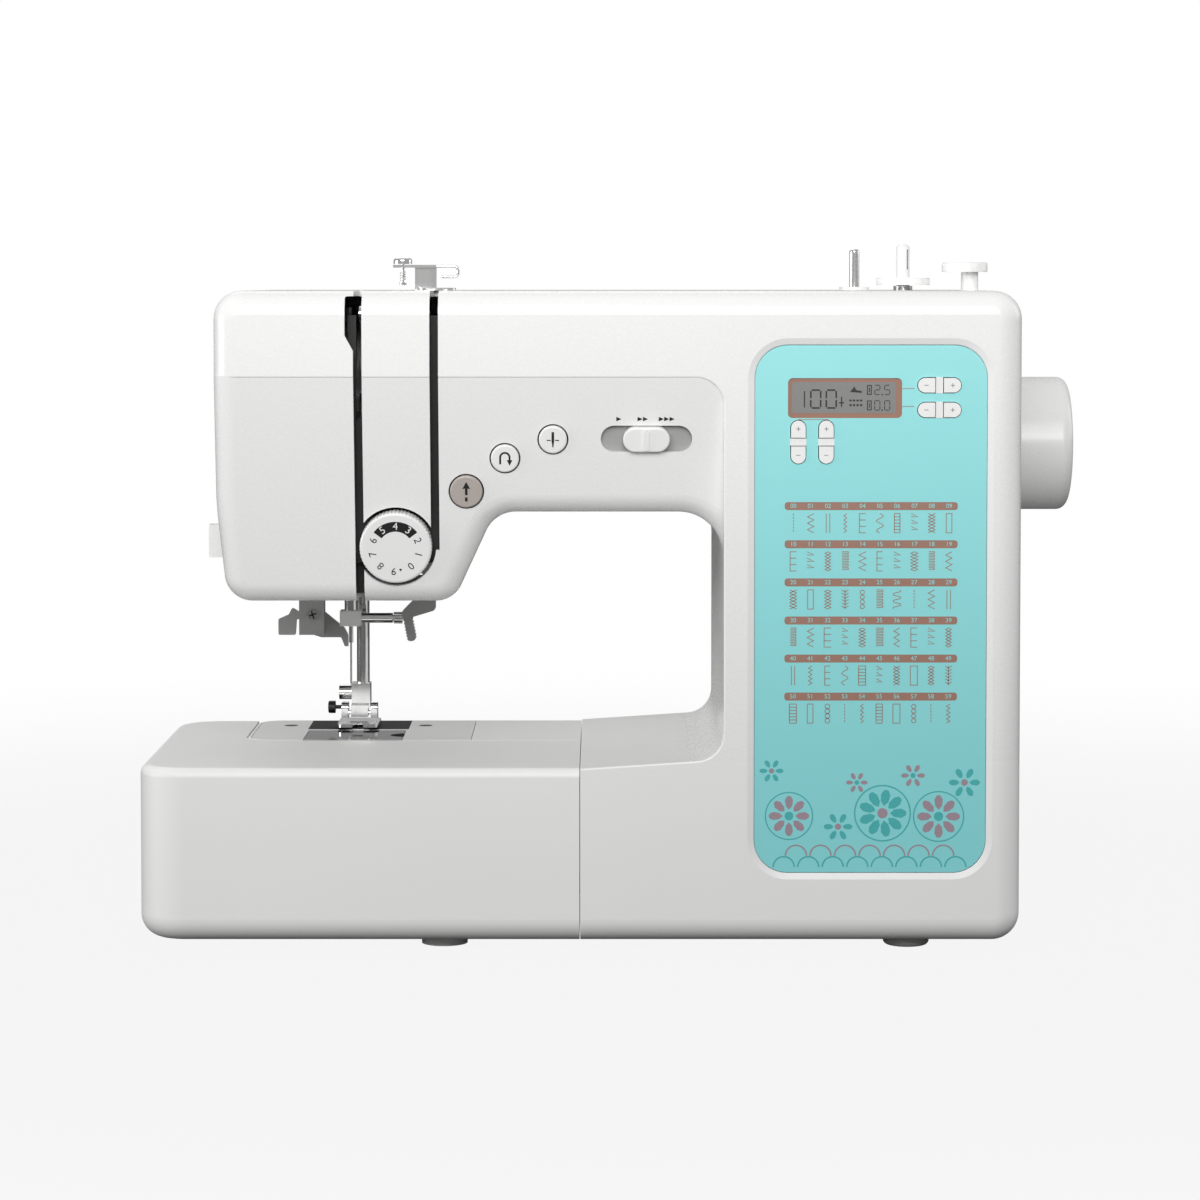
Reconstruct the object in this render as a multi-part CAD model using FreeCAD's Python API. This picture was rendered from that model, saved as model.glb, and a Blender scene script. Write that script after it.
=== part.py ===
import FreeCAD
import Part

import math
import os

from FreeCAD import Placement, Rotation, Vector

# A free-arm sewing machine, in millimetres.
# X runs along the arm to the handwheel, Y from the front to the back, Z up from the floor.

# Overall size and common clearances
overall_width = 415.0
overall_depth = 178.0
body_height = 284.0
foot_height = 5.0
wall = 2.6
seam_gap = 0.3
slide_gap = 0.35
fit_gap = 0.05
overlap = 0.5

# Casing seen from the front
handwheel_width = 35.2
handwheel_gap = 0.8
flat_bed_overhang = 33.5
pillar_width = 127.5
bed_stub = 61.3
bed_height = 80.0
bed_rise = 4.0
head_drop = 134.0
arm_drop = 95.0
crease_drop = 37.0
crease_step = 0.4
crease_round = 0.8
slope_angle = 9.0
head_taper = 4.0
head_taper_height = 42.0
head_taper_round = 120.0
head_bottom_width = 98.0
head_side_slant = 18.0
casing_corner = 12.0
throat_corner = 19.0
throat_left_corner = 14.0
bed_corner = 12.0
front_round = 10.0
arm_round = 9.0
back_round = 8.0
front_depth = 99.0
arm_lap = 12.0
arm_lap_drop = 30.0
arm_lap_top = 1.0
arm_hollow_top = 8.0

# Free arm and flat bed attachment
free_arm_inset = 4.0
free_arm_depth = 73.4
free_arm_back_inset = 11.0
free_arm_corner = 12.0
free_arm_edge = 1.2
flat_bed_corner = 20.0
flat_bed_top_round = 4.0
flat_bed_bottom_round = 10.0
flat_bed_foot_radius = 10.0
flat_bed_foot_spots = ((131.0, 29.0), (22.0, 130.0))

# Needle plate, bobbin cover and feed dog
plate_thickness = 2.0
plate_width = 100.5
plate_margin = 2.0
plate_corner = 10.0
ledge_width = 3.0
cover_width = 44.7
cover_depth = 34.5
cover_front = 1.0
cover_notch_radius = 6.0
needle_slot_length = 9.2
needle_slot_width = 2.4
feed_row_offset = 7.0
feed_row_width = 2.4
feed_row_length = 19.0
feed_row_start = -4.5
feed_stroke = 2.5
feed_height = 0.2
feed_teeth = 9
feed_tooth_depth = 0.5
feed_carrier_thickness = 2.4
feed_carrier_drop = 3.0
feed_post_height = 12.6
feed_post_depth = 6.0

# Needle line and its drive
needle_inset = 49.3
needle_back_inset = 29.0
stitch_width = 7.0
shaft_drop = 71.0
shaft_radius = 5.0
lower_shaft_under_bed = 42.0
lower_shaft_radius = 4.5
crank_reach = 15.0
crank_radius = 19.0
crank_width = 8.0
crank_offset = 12.7
crank_pin_radius = 2.5
crank_pin_length = 2.6
link_length = 31.0
link_offset = 5.1
link_thickness = 3.0
link_eye_radius = 4.2
collar_height = 8.0
stud_radius = 2.0
needle_bar_radius = 3.0
needle_bar_top_drop = 8.0
needle_clamp_drop = 156.0
needle_clamp_height = 7.0
needle_clamp_width = 9.8
needle_clamp_depth = 10.0
clamp_screw_radius = 1.35
clamp_screw_length = 15.0
clamp_shoulder_radius = 2.3
clamp_knob_radius = 2.75
clamp_knob_length = 4.0
needle_shank_radius = 1.0
needle_blade_radius = 0.45
needle_tip_length = 2.0
needle_shank_length = 8.0
needle_length = 29.0
needle_socket_roof = 1.0
swing_pivot_drop = 22.0
swing_pivot_radius = 3.0
swing_half_width = 4.6
swing_plate_back = 4.5
swing_plate_thickness = 4.0
swing_front = 5.0
swing_lug_height = 8.0
swing_lower_drop = 132.0
swing_upper_drop = 56.0

# Cast frame, bushings, belts and motor
frame_back = 21.0
frame_thickness = 5.0
frame_arm_height = 13.0
frame_top_gap = 12.0
frame_left = 31.0
frame_head_width = 78.0
frame_pillar_inset = 16.0
frame_bed_height = 44.0
frame_right_inset = 15.5
lug_half_width = 6.0
lug_half_height = 11.0
bushing_radius = 8.0
bushing_length = 14.0
left_lug_offset = 29.7
middle_lug_inset = 22.0
right_lug_inset = 21.5
belt_pulley_inset = 54.0
belt_pulley_radius = 18.0
belt_pulley_width = 9.0
timing_pulley_offset = 20.5
timing_pulley_radius = 14.0
timing_pulley_width = 10.0
pulley_hub_radius = 9.0
belt_thickness = 1.5
belt_margin = 0.5
motor_forward = 44.0
motor_z = 120.0
motor_radius = 22.0
motor_length = 46.0
motor_shaft_radius = 3.0
motor_pulley_radius = 6.0
motor_boss_radius = 8.0
motor_bracket_offset = 11.0
motor_bracket_thickness = 3.0
motor_bracket_half_height = 27.5
motor_bracket_front = 25.0

# Hook, bobbin and lower gears
hook_front_inset = 23.9
hook_radius = 19.0
hook_cup_wall = 1.5
hook_floor_under_bed = 26.0
hook_floor = 2.0
hook_top_under_bed = 9.0
hook_shaft_radius = 4.0
hook_shaft_end_gap = 3.5
hook_gear_radius = 8.0
hook_gear_half_height = 8.0
hook_lug_half_width = 9.0
hook_lug_height = 10.0
hook_lug_gap = 3.0
hook_gear_teeth = 14
bottom_gear_radius = 12.0
bottom_gear_half_width = 6.0
bottom_gear_teeth = 28
gear_tooth_depth = 0.8
case_gap = 0.4
case_floor = 1.4
case_top_under_bed = 7.0
bobbin_radius = 10.2
bobbin_height = 11.5
bobbin_bore = 3.0
bobbin_core = 4.0
bobbin_flange = 1.0

# Presser bar, holder, foot and lifter
presser_offset_x = 4.7
presser_offset_y = 14.0
presser_radius = 3.0
presser_bottom_over_bed = 12.0
presser_top_drop = 38.0
presser_lug_half_width = 7.0
presser_lug_front = 4.5
presser_lug_height = 10.0
presser_lug_lower_drop = 130.5
presser_lug_upper_drop = 53.0
presser_collar_drop = 110.0
presser_collar_height = 6.0
presser_collar_radius = 4.8
presser_arm_length = 42.0
presser_arm_half_depth = 3.0
spring_inner_radius = 3.4
spring_outer_radius = 4.6
holder_width = 8.7
holder_left = 5.2
holder_depth = 10.0
holder_bottom_over_bed = 8.0
holder_top_over_bed = 19.7
nose_half_width = 4.0
nose_depth = 6.0
nose_bottom_over_bed = 4.6
nose_top_over_bed = 10.0
holder_screw_over_bed = 15.3
holder_screw_radius = 3.5
holder_screw_length = 6.0
holder_screw_shank = 1.8
screw_slot_width = 1.0
screw_slot_depth = 1.0
foot_pin_back = 7.0
foot_pin_over_bed = 6.5
foot_pin_radius = 1.0
foot_gap = 1.2
foot_sole = 1.6
foot_half_width = 9.5
foot_toe = 15.5
foot_heel = 10.0
foot_toe_gap = 5.0
foot_slot_length = 9.4
foot_slot_depth = 5.0
foot_corner = 3.0
foot_ear_inner = 5.2
foot_ear_thickness = 3.2
foot_ear_half_depth = 3.2
foot_ear_over_bed = 11.6
foot_groove_gap = 0.3
lock_over_bed = 9.0
lock_knob_radius = 2.9
lock_knob_length = 3.3
lock_pin_radius = 0.9
lock_travel = 1.5
lifter_offset_x = 40.7
lifter_drop = 119.0
lifter_hub_radius = 8.0
lifter_pin_radius = 3.0
lifter_half_depth = 3.0
lifter_lobe_reach = 12.0
lifter_lobe_radius = 2.0
lifter_lobe_angle = 15.0
lifter_bend_drop = 21.8
lifter_elbow_left = 17.8
lifter_elbow_drop = 31.8
lifter_heel_left = 1.9
lifter_heel_drop = 31.0
lifter_corner = 1.9
lifter_neck = 3.4
lifter_grip_length = 14.4
lifter_grip_width = 4.4
lifter_grip_tilt = 11.0
lifter_grip_notches = 6
lifter_notch_radius = 0.45
lifter_notch_pitch = 1.5

# Needle threader and take-up lever
threader_offset_x = 21.3
threader_bar_radius = 2.25
threader_bar_bottom_drop = 144.0
threader_bar_top_drop = 78.0
threader_travel = 17.0
threader_lug_drop = 98.0
threader_lug_height = 8.0
threader_lug_half_width = 5.0
threader_arm_drop = 114.0
threader_arm_height = 6.0
threader_arm_half_depth = 2.0
threader_rail_inset = 19.0
threader_tab_depth = 69.0
threader_tab_out = 8.6
threader_tab_half_depth = 4.0
threader_tab_bottom_drop = 118.5
threader_tab_top_drop = 104.0
threader_head_bottom_drop = 160.0
threader_head_top_drop = 142.8
threader_post_left = 2.5
threader_post_right = 9.0
threader_sheet = 2.2
threader_claw_drop = 150.5
threader_claw_rise = 3.2
threader_claw_reach = 9.6
threader_corner = 0.8
threader_hook_back = 5.8
threader_hook_thickness = 1.8
threader_hook_bottom_drop = 166.4
threader_hook_top_drop = 157.8
threader_hook_reach = 1.7
take_up_forward = 29.0
take_up_drop = 38.0
take_up_tip_depth = 27.0
take_up_tip_drop = 10.0
take_up_rear_forward = 11.0
take_up_rear_drop = 41.0
take_up_thickness = 1.6
take_up_hub_radius = 6.0
take_up_tip_radius = 3.2
take_up_eye_radius = 1.4
take_up_pin_radius = 2.5
take_up_pin_offset = 18.7
take_up_block_length = 6.0
take_up_block_half_height = 6.0

# Thread slots, tension unit and thread channel
slot_width = 3.7
slot_depth = 45.0
left_slot_offset = 12.7
right_slot_offset = 45.2
right_slot_drop = 111.2
slot_mouth_left = 5.4
slot_mouth_top_drop = 2.3
slot_mouth_bottom_drop = 19.0
slot_mouth_taper_drop = 25.5
slot_mouth_round = 1.0
dial_offset = 28.3
dial_drop = 109.8
dial_radius = 15.5
dial_ring_gap = 1.8
dial_proud = 3.2
dial_sunk = 4.0
dial_edge_round = 1.2
dial_stem_radius = 3.0
dial_grips = 60
dial_grip_depth = 0.35
channel_depth = 21.0
channel_thickness = 2.0
channel_margin = 5.5
channel_bottom_gap = 14.0
channel_top_gap = 8.0
channel_post_radius = 1.2
channel_post_inset = 2.2
tension_disc_radius = 9.0
tension_disc_thickness = 0.8
tension_stud_radius = 2.5
tension_stud_length = 18.0
tension_nut_radius = 5.0
tension_nut_length = 8.0

# Controls on the sloping front of the arm
button_sunk = 6.0
button_proud = 1.4
button_edge_round = 0.8
start_radius = 7.0
small_button_radius = 6.0
start_offset = -110.0
start_drop = 85.7
reverse_offset = -93.4
reverse_drop = 71.4
needle_button_offset = -72.9
needle_button_drop = 63.3
speed_offset = -33.0
speed_drop = 63.1
speed_slot_length = 39.0
speed_slot_height = 11.5
speed_knob_length = 20.0
speed_knob_proud = 3.0
speed_travel = 8.5
speed_flange_height = 15.0
speed_flange_thickness = 1.2
speed_ridge_width = 2.4
speed_ridge_height = 0.8

# Control panel, display and rocker keys
panel_inset = 13.2
panel_width = 98.7
panel_bottom_z = 35.4
panel_top_drop = 23.1
panel_corner = 14.0
panel_thickness = 1.5
panel_bevel_width = 3.0
panel_bevel_depth = 0.9
panel_pad_margin = 5.0
panel_pad_depth = 5.5
lcd_left = 14.0
lcd_width = 48.5
lcd_height = 17.0
lcd_center_drop = 45.6
lcd_corner = 2.0
lcd_frame_margin = 1.5
lcd_thickness = 7.5
lcd_sunk = 0.5
key_length = 18.3
key_height = 6.2
key_bridge = 3.0
key_proud = 0.75
key_web_thickness = 1.6
wide_key_x = 78.4
width_key_drop = 40.1
length_key_drop = 50.6
tens_key_x = 18.4
units_key_x = 30.3
tall_key_drop = 64.3
board_margin = 5.0
board_thickness = 1.6
board_bottom_z = 120.0
board_top_drop = 22.0
board_standoff = 4.5
board_post_radius = 3.0
board_post_inset = 6.0
chip_size = 16.0
chip_height = 2.0

# Things on top of the casing
guide_offset_x = 39.9
guide_depth = 44.0
guide_base_length = 16.7
guide_base_depth = 8.0
guide_sheet = 1.2
guide_plate_left = 4.8
guide_plate_width = 9.4
guide_plate_height = 10.0
guide_cap_radius = 4.1
guide_cap_height = 2.6
guide_cap_gap = 0.4
guide_stud_radius = 0.7
guide_stud_x = -10.1
guide_spring_radius = 1.1
guide_spring_wire = 0.25
guide_spring_turns = 4
guide_spring_pitch = 1.05
guide_wire_radius = 0.6
guide_hook_length = 9.5
guide_hook_drop = 4.6
guide_hook_bend = 1.8
spool_inset = 63.1
spool_back_inset = 49.0
spool_pin_radius = 2.3
spool_stem_radius = 2.6
spool_top = 18.7
spool_stem_bottom = 38.0
spool_seat_radius = 6.85
spool_seat_height = 1.4
spool_guide_radius = 5.2
spool_guide_length = 20.0
winder_inset = 45.4
winder_depth = 74.0
winder_shaft_radius = 2.9
winder_top = 20.4
winder_tip = 1.2
winder_seat_radius = 11.8
winder_seat_bottom = 2.4
winder_seat_height = 3.1
winder_post_radius = 4.2
winder_post_gap = 0.4
winder_wheel_radius = 8.0
winder_wheel_height = 6.0
winder_arm_reach = 40.0
winder_arm_half_width = 6.5
winder_arm_thickness = 3.0
winder_arm_gap = 2.0
winder_pivot_radius = 2.5
winder_swing = 8.0
stop_inset = 15.7
stop_stem_radius = 3.8
stop_disc_radius = 10.0
stop_disc_offset = 2.2
stop_stem_height = 8.2
stop_disc_height = 4.2
stop_shank_radius = 2.0

# Right side, back and bottom
handwheel_radius = 30.7
handwheel_round = 5.0
handwheel_rim = 4.5
handwheel_web = 7.0
handwheel_hub_radius = 9.0
shaft_hole_gap = 2.5
socket_back_inset = 47.0
socket_z = 40.0
socket_half_depth = 20.0
socket_half_height = 13.5
socket_length = 20.0
inlet_length = 15.0
inlet_height = 8.5
inlet_depth = 9.0
inlet_pin_radius = 1.2
inlet_pin_spacing = 8.6
jack_radius = 3.0
switch_z = 73.0
switch_radius = 6.6
switch_half_depth = 8.6
switch_rock = 8.0
switch_proud = 1.6
vent_count = 7
vent_length = 34.0
vent_width = 3.0
vent_pitch = 8.0
vent_z = 70.0
vent_inset = 24.0
screw_head_radius = 3.2
screw_head_height = 2.2
screw_shank_radius = 1.6
plate_screw_length = 5.0
plate_screw_spots = ((-28.8, 9.0), (34.2, 9.0))
back_screw_inset = 10.0
base_plate_thickness = 3.0
foot_radius = 10.0
foot_round = 2.0
foot_left_inset = 16.7
foot_right_inset = 32.6
foot_end_inset = 13.0
foot_hidden_inset = 42.0
arm_foot_inset = 30.0

# Places worked out from the sizes above
left_end_x = -overall_width / 2
right_end_x = overall_width / 2
front_y = -overall_depth / 2
back_y = overall_depth / 2
free_arm_back = back_y - free_arm_back_inset
free_arm_front = free_arm_back - free_arm_depth
needle_y = free_arm_back - needle_back_inset
hook_y = free_arm_front + hook_front_inset
foot_pin_y = needle_y + foot_pin_back
motor_y = needle_y - motor_forward
take_up_y = needle_y - take_up_forward
take_up_rear_y = needle_y - take_up_rear_forward
take_up_tip_y = front_y + take_up_tip_depth
threader_tab_y = front_y + threader_tab_depth
channel_y = front_y + channel_depth
guide_y = front_y + guide_depth
winder_y = front_y + winder_depth
spool_y = back_y - spool_back_inset
socket_y = back_y - socket_back_inset
shaft_z = body_height - shaft_drop
needle_bar_top_z = body_height - needle_bar_top_drop
needle_clamp_bottom_z = body_height - needle_clamp_drop
swing_pivot_z = body_height - swing_pivot_drop
swing_lower_z = body_height - swing_lower_drop
swing_upper_z = body_height - swing_upper_drop
presser_top_z = body_height - presser_top_drop
presser_lug_lower_z = body_height - presser_lug_lower_drop
presser_lug_upper_z = body_height - presser_lug_upper_drop
presser_collar_z = body_height - presser_collar_drop
lifter_z = body_height - lifter_drop
threader_bar_bottom_z = body_height - threader_bar_bottom_drop
threader_bar_top_z = body_height - threader_bar_top_drop
threader_lug_z = body_height - threader_lug_drop
threader_arm_z = body_height - threader_arm_drop
threader_tab_bottom_z = body_height - threader_tab_bottom_drop
threader_tab_top_z = body_height - threader_tab_top_drop
threader_head_bottom_z = body_height - threader_head_bottom_drop
threader_head_top_z = body_height - threader_head_top_drop
threader_claw_z = body_height - threader_claw_drop
threader_hook_bottom_z = body_height - threader_hook_bottom_drop
threader_hook_top_z = body_height - threader_hook_top_drop
take_up_z = body_height - take_up_drop
take_up_tip_z = body_height - take_up_tip_drop
take_up_rear_z = body_height - take_up_rear_drop
right_slot_bottom_z = body_height - right_slot_drop
slot_mouth_top_z = body_height - slot_mouth_top_drop
slot_mouth_bottom_z = body_height - slot_mouth_bottom_drop
slot_mouth_taper_z = body_height - slot_mouth_taper_drop
dial_z = body_height - dial_drop
start_z = body_height - start_drop
reverse_z = body_height - reverse_drop
needle_button_z = body_height - needle_button_drop
speed_z = body_height - speed_drop
lcd_center_z = body_height - lcd_center_drop
width_key_z = body_height - width_key_drop
length_key_z = body_height - length_key_drop
tall_key_z = body_height - tall_key_drop
board_top_z = body_height - board_top_drop
lower_shaft_z = bed_height - lower_shaft_under_bed
hook_floor_z = bed_height - hook_floor_under_bed
hook_top_z = bed_height - hook_top_under_bed
case_top_z = bed_height - case_top_under_bed
presser_bottom_z = bed_height + presser_bottom_over_bed
holder_bottom_z = bed_height + holder_bottom_over_bed
holder_top_z = bed_height + holder_top_over_bed
nose_bottom_z = bed_height + nose_bottom_over_bed
nose_top_z = bed_height + nose_top_over_bed
holder_screw_z = bed_height + holder_screw_over_bed
foot_pin_z = bed_height + foot_pin_over_bed
foot_ear_top_z = bed_height + foot_ear_over_bed
lock_z = bed_height + lock_over_bed
seam_y = front_y + front_depth
body_right_x = right_end_x - handwheel_width - handwheel_gap
head_left_x = left_end_x + flat_bed_overhang
pillar_left_x = body_right_x - pillar_width
bed_seam_x = pillar_left_x - bed_stub
head_bottom_z = body_height - head_drop
arm_under_z = body_height - arm_drop
crease_z = body_height - crease_drop
head_right_x = head_left_x + head_taper + head_bottom_width
ceiling_z = body_height - wall
free_arm_left_x = head_left_x + free_arm_inset
needle_x = head_left_x + needle_inset
stitch_x = needle_x + stitch_width / 2
presser_x = needle_x + presser_offset_x
presser_y = needle_y + presser_offset_y
frame_y = needle_y + frame_back
frame_back_y = frame_y + frame_thickness
base_top_z = foot_height + base_plate_thickness
hook_shaft_bottom_z = base_top_z + hook_shaft_end_gap
left_slot_x = needle_x + left_slot_offset
right_slot_x = needle_x + right_slot_offset
dial_x = needle_x + dial_offset
lifter_x = needle_x + lifter_offset_x
threader_x = needle_x - threader_offset_x
crank_x = needle_x + crank_offset
left_lug_x = needle_x + left_lug_offset
middle_lug_x = pillar_left_x + middle_lug_inset
right_lug_x = body_right_x - right_lug_inset
belt_pulley_x = pillar_left_x + belt_pulley_inset
timing_pulley_x = belt_pulley_x + timing_pulley_offset
motor_bracket_x = belt_pulley_x + motor_bracket_offset
motor_x = motor_bracket_x + motor_bracket_thickness
panel_left_x = pillar_left_x + panel_inset
panel_height = body_height - panel_top_drop - panel_bottom_z
panel_y = front_y + panel_bevel_depth
panel_back_y = panel_y + panel_thickness
pad_back_y = front_y + panel_pad_depth
start_x = pillar_left_x + start_offset
reverse_x = pillar_left_x + reverse_offset
needle_button_x = pillar_left_x + needle_button_offset
speed_x = pillar_left_x + speed_offset
winder_x = body_right_x - winder_inset
winder_pivot_y = winder_y - winder_arm_reach
stop_x = body_right_x - stop_inset
spool_x = body_right_x - spool_inset
guide_x = needle_x + guide_offset_x
plate_left_x = free_arm_left_x + plate_margin
plate_front_y = free_arm_front + plate_margin
plate_back_y = free_arm_back - plate_margin
cover_front_y = free_arm_front + cover_front
cover_back_y = cover_front_y + cover_depth
foot_bottom_z = bed_height + foot_gap
hook_gear_z = lower_shaft_z
hook_lug_z = base_top_z + hook_lug_gap
slope_tangent = math.tan(math.radians(slope_angle))
slope_wall = wall / math.cos(math.radians(slope_angle))
frame_foot_z = base_top_z


# Building blocks


def box(x, y, z):
    size = (x[1] - x[0], y[1] - y[0], z[1] - z[0])
    return Part.makeBox(*size, Vector(x[0], y[0], z[0]))


def rod(axis, at, radius, span):
    """A cylinder along one axis; at holds the two other coordinates in X, Y, Z order."""
    start = in_space(axis, span[0], *at)
    end = in_space(axis, span[1], *at)
    return Part.makeCylinder(radius, span[1] - span[0], start, end - start)


def in_space(axis, along, a, b):
    if axis == "x":
        return Vector(along, a, b)
    if axis == "y":
        return Vector(a, along, b)
    return Vector(a, b, along)


def rounded_wire(corners, axis, along):
    """A closed wire through corners (a, b, radius), each rounded by a tangent arc."""
    flat = [Vector(a, b, 0) for a, b, radius in corners]
    bends = []
    for index, (a, b, radius) in enumerate(corners):
        here = flat[index]
        if radius == 0:
            bends.append((here, None, here))
            continue
        back = (flat[index - 1] - here).normalize()
        ahead = (flat[(index + 1) % len(flat)] - here).normalize()
        half = back.getAngle(ahead) / 2
        reach = radius / math.tan(half)
        inward = (back + ahead).normalize()
        middle = here + inward * (radius / math.sin(half) - radius)
        bends.append((here + back * reach, middle, here + ahead * reach))
    edges = []
    for index, (start, middle, end) in enumerate(bends):
        if middle is not None:
            points = [in_space(axis, along, p.x, p.y) for p in (start, middle, end)]
            edges.append(Part.Arc(*points).toShape())
        following = bends[(index + 1) % len(bends)][0]
        if (following - end).Length > 1e-6:
            points = [in_space(axis, along, p.x, p.y) for p in (end, following)]
            edges.append(Part.LineSegment(*points).toShape())
    return Part.Wire(edges)


def prism(corners, axis, span):
    wire = rounded_wire(corners, axis, span[0])
    return Part.Face(wire).extrude(in_space(axis, span[1] - span[0], 0, 0))


def inset(corners, depth):
    """The same outline moved inwards by depth, its rounds following."""
    count = len(corners)
    area = sum(corners[i - 1][0] * corners[i][1] - corners[i][0] * corners[i - 1][1] for i in range(count))
    side = 1 if area > 0 else -1
    moved = []
    for index, (a, b, radius) in enumerate(corners):
        before = corners[index - 1]
        after = corners[(index + 1) % count]
        arriving = Vector(a - before[0], b - before[1], 0).normalize()
        leaving = Vector(after[0] - a, after[1] - b, 0).normalize()
        first = Vector(-arriving.y, arriving.x, 0) * side
        second = Vector(-leaving.y, leaving.x, 0) * side
        shift = (first + second) * (depth / (1 + first.dot(second)))
        convex = arriving.cross(leaving).z * side > 0
        if radius > 0:
            radius = max(radius - depth, 0) if convex else radius + depth
        moved.append((a + shift.x, b + shift.y, radius))
    return moved


def rectangle(a, b, radius=0.0):
    return [(a[0], b[0], radius), (a[1], b[0], radius), (a[1], b[1], radius), (a[0], b[1], radius)]


def around(center, half):
    return (center - half, center + half)


def pill(axis, at, size, span):
    """A prism with fully rounded ends, size across the two other axes."""
    outline = rectangle(around(at[0], size[0] / 2), around(at[1], size[1] / 2), min(size) / 2)
    return prism(outline, axis, span)


def capsule(axis, start, end, radius, span):
    """A flat bar with round ends between two points."""
    first = rod(axis, start, radius, span)
    last = rod(axis, end, radius, span)
    run = Vector(end[0] - start[0], end[1] - start[1], 0)
    across = Vector(-run.y, run.x, 0).normalize() * radius
    corners = [(p[0] + s * across.x, p[1] + s * across.y, 0.0)
               for p, s in ((start, 1), (start, -1), (end, -1), (end, 1))]
    return joined(first, prism(corners, axis, span), last)


def ring(axis, at, outer, inner, span):
    return rod(axis, at, outer, span).cut(rod(axis, at, inner, span))


def joined(first, *others):
    return first.multiFuse(list(others)).removeSplitter()


def cut(shape, *tools):
    for tool in tools:
        shape = shape.cut(tool)
    return shape


def rounded_edges(shape, radius, chosen):
    return shape.makeFillet(radius, [edge for edge in shape.Edges if chosen(edge)])


def edge_on(edge, axis, value):
    """True when the whole edge lies in the plane where that coordinate has the value."""
    limits = edge.BoundBox
    low = getattr(limits, axis + "Min")
    high = getattr(limits, axis + "Max")
    return abs(low - value) < 1e-4 and abs(high - value) < 1e-4


def toothed_wheel(axis, at, radius, teeth, depth, span):
    """A wheel with straight trapezoid teeth."""
    points = []
    for index in range(teeth):
        for share, reach in ((0.0, 0.0), (0.3, 0.0), (0.45, depth), (0.85, depth)):
            angle = 2 * math.pi * (index + share) / teeth
            size = radius - reach
            points.append((at[0] + size * math.cos(angle), at[1] + size * math.sin(angle), 0.0))
    return prism(points, axis, span)


def belt_loop(axis, start, start_radius, end, end_radius, span):
    """The filled outline of a belt round two wheels."""
    run = Vector(end[0] - start[0], end[1] - start[1], 0)
    heading = math.atan2(run.y, run.x)
    spread = math.acos((start_radius - end_radius) / run.Length)
    corners = []
    for center, radius, side in ((start, start_radius, 1), (start, start_radius, -1),
                                 (end, end_radius, -1), (end, end_radius, 1)):
        angle = heading + side * spread
        corners.append((center[0] + radius * math.cos(angle), center[1] + radius * math.sin(angle), 0.0))
    return joined(rod(axis, start, start_radius, span), prism(corners, axis, span),
                  rod(axis, end, end_radius, span))


def slope_y(z):
    """Front of the sloping arm face at a height."""
    return front_y + crease_step + (crease_z - z) * slope_tangent


def on_slope(shape, x, z):
    """Places a shape drawn flat, its Z axis becoming the outward normal of the arm face."""
    placed = shape.copy()
    placed.Placement = Placement(Vector(x, slope_y(z), z), Rotation(Vector(1, 0, 0), 90 + slope_angle))
    return placed


# Casing


def proud_outline():
    """The upper band, the pillar and the right end of the bed, seen from the front."""
    return [
        (body_right_x, foot_height, casing_corner),
        (body_right_x, body_height, casing_corner),
        (head_left_x, body_height, casing_corner),
        (head_left_x, crease_z, 0.0),
        (pillar_left_x, crease_z, casing_corner),
        (pillar_left_x, bed_height + bed_rise, bed_corner),
        (bed_seam_x, bed_height, 0.0),
        (bed_seam_x, foot_height, 0.0),
    ]


def head_outline():
    """Left, lower and right side of the head, down from the left and on to the arm."""
    return [
        (head_left_x, head_bottom_z + head_taper_height, head_taper_round),
        (head_left_x + head_taper, head_bottom_z, casing_corner),
        (head_right_x, head_bottom_z, casing_corner),
        (head_right_x + head_side_slant, arm_under_z, throat_left_corner),
        (pillar_left_x, arm_under_z, throat_corner),
    ]


def arm_outline(top_z):
    lap_x = pillar_left_x + arm_lap
    lap_z = arm_under_z - arm_lap_drop
    return [(head_left_x, top_z, 0.0)] + head_outline() + [
        (pillar_left_x, lap_z, 0.0),
        (lap_x, lap_z, 0.0),
        (lap_x, top_z, 0.0),
    ]


def back_outline():
    return [
        (body_right_x, foot_height, casing_corner),
        (body_right_x, body_height, casing_corner),
        (head_left_x, body_height, casing_corner),
    ] + head_outline() + [
        (pillar_left_x, bed_height + bed_rise, bed_corner),
        (bed_seam_x, bed_height, 0.0),
        (bed_seam_x, foot_height, 0.0),
    ]


def proud_block(depth):
    front = front_y + depth
    solid = prism(inset(proud_outline(), depth), "y", (front, seam_y))
    limits = solid.BoundBox

    def outer(edge):
        middle = edge.CenterOfMass
        rim = casing_corner
        near = (middle.x > limits.XMax - rim or middle.x < limits.XMin + rim
                or middle.z > limits.ZMax - rim or middle.z < limits.ZMin + rim)
        return edge_on(edge, "Y", front) and near

    def inner(edge):
        return edge_on(edge, "Y", front) and not outer(edge) and not edge_on(edge, "X", bed_seam_x)

    solid = rounded_edges(solid, front_round - depth, outer)
    if depth == 0:
        solid = rounded_edges(solid, crease_round, inner)
    return solid


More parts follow.
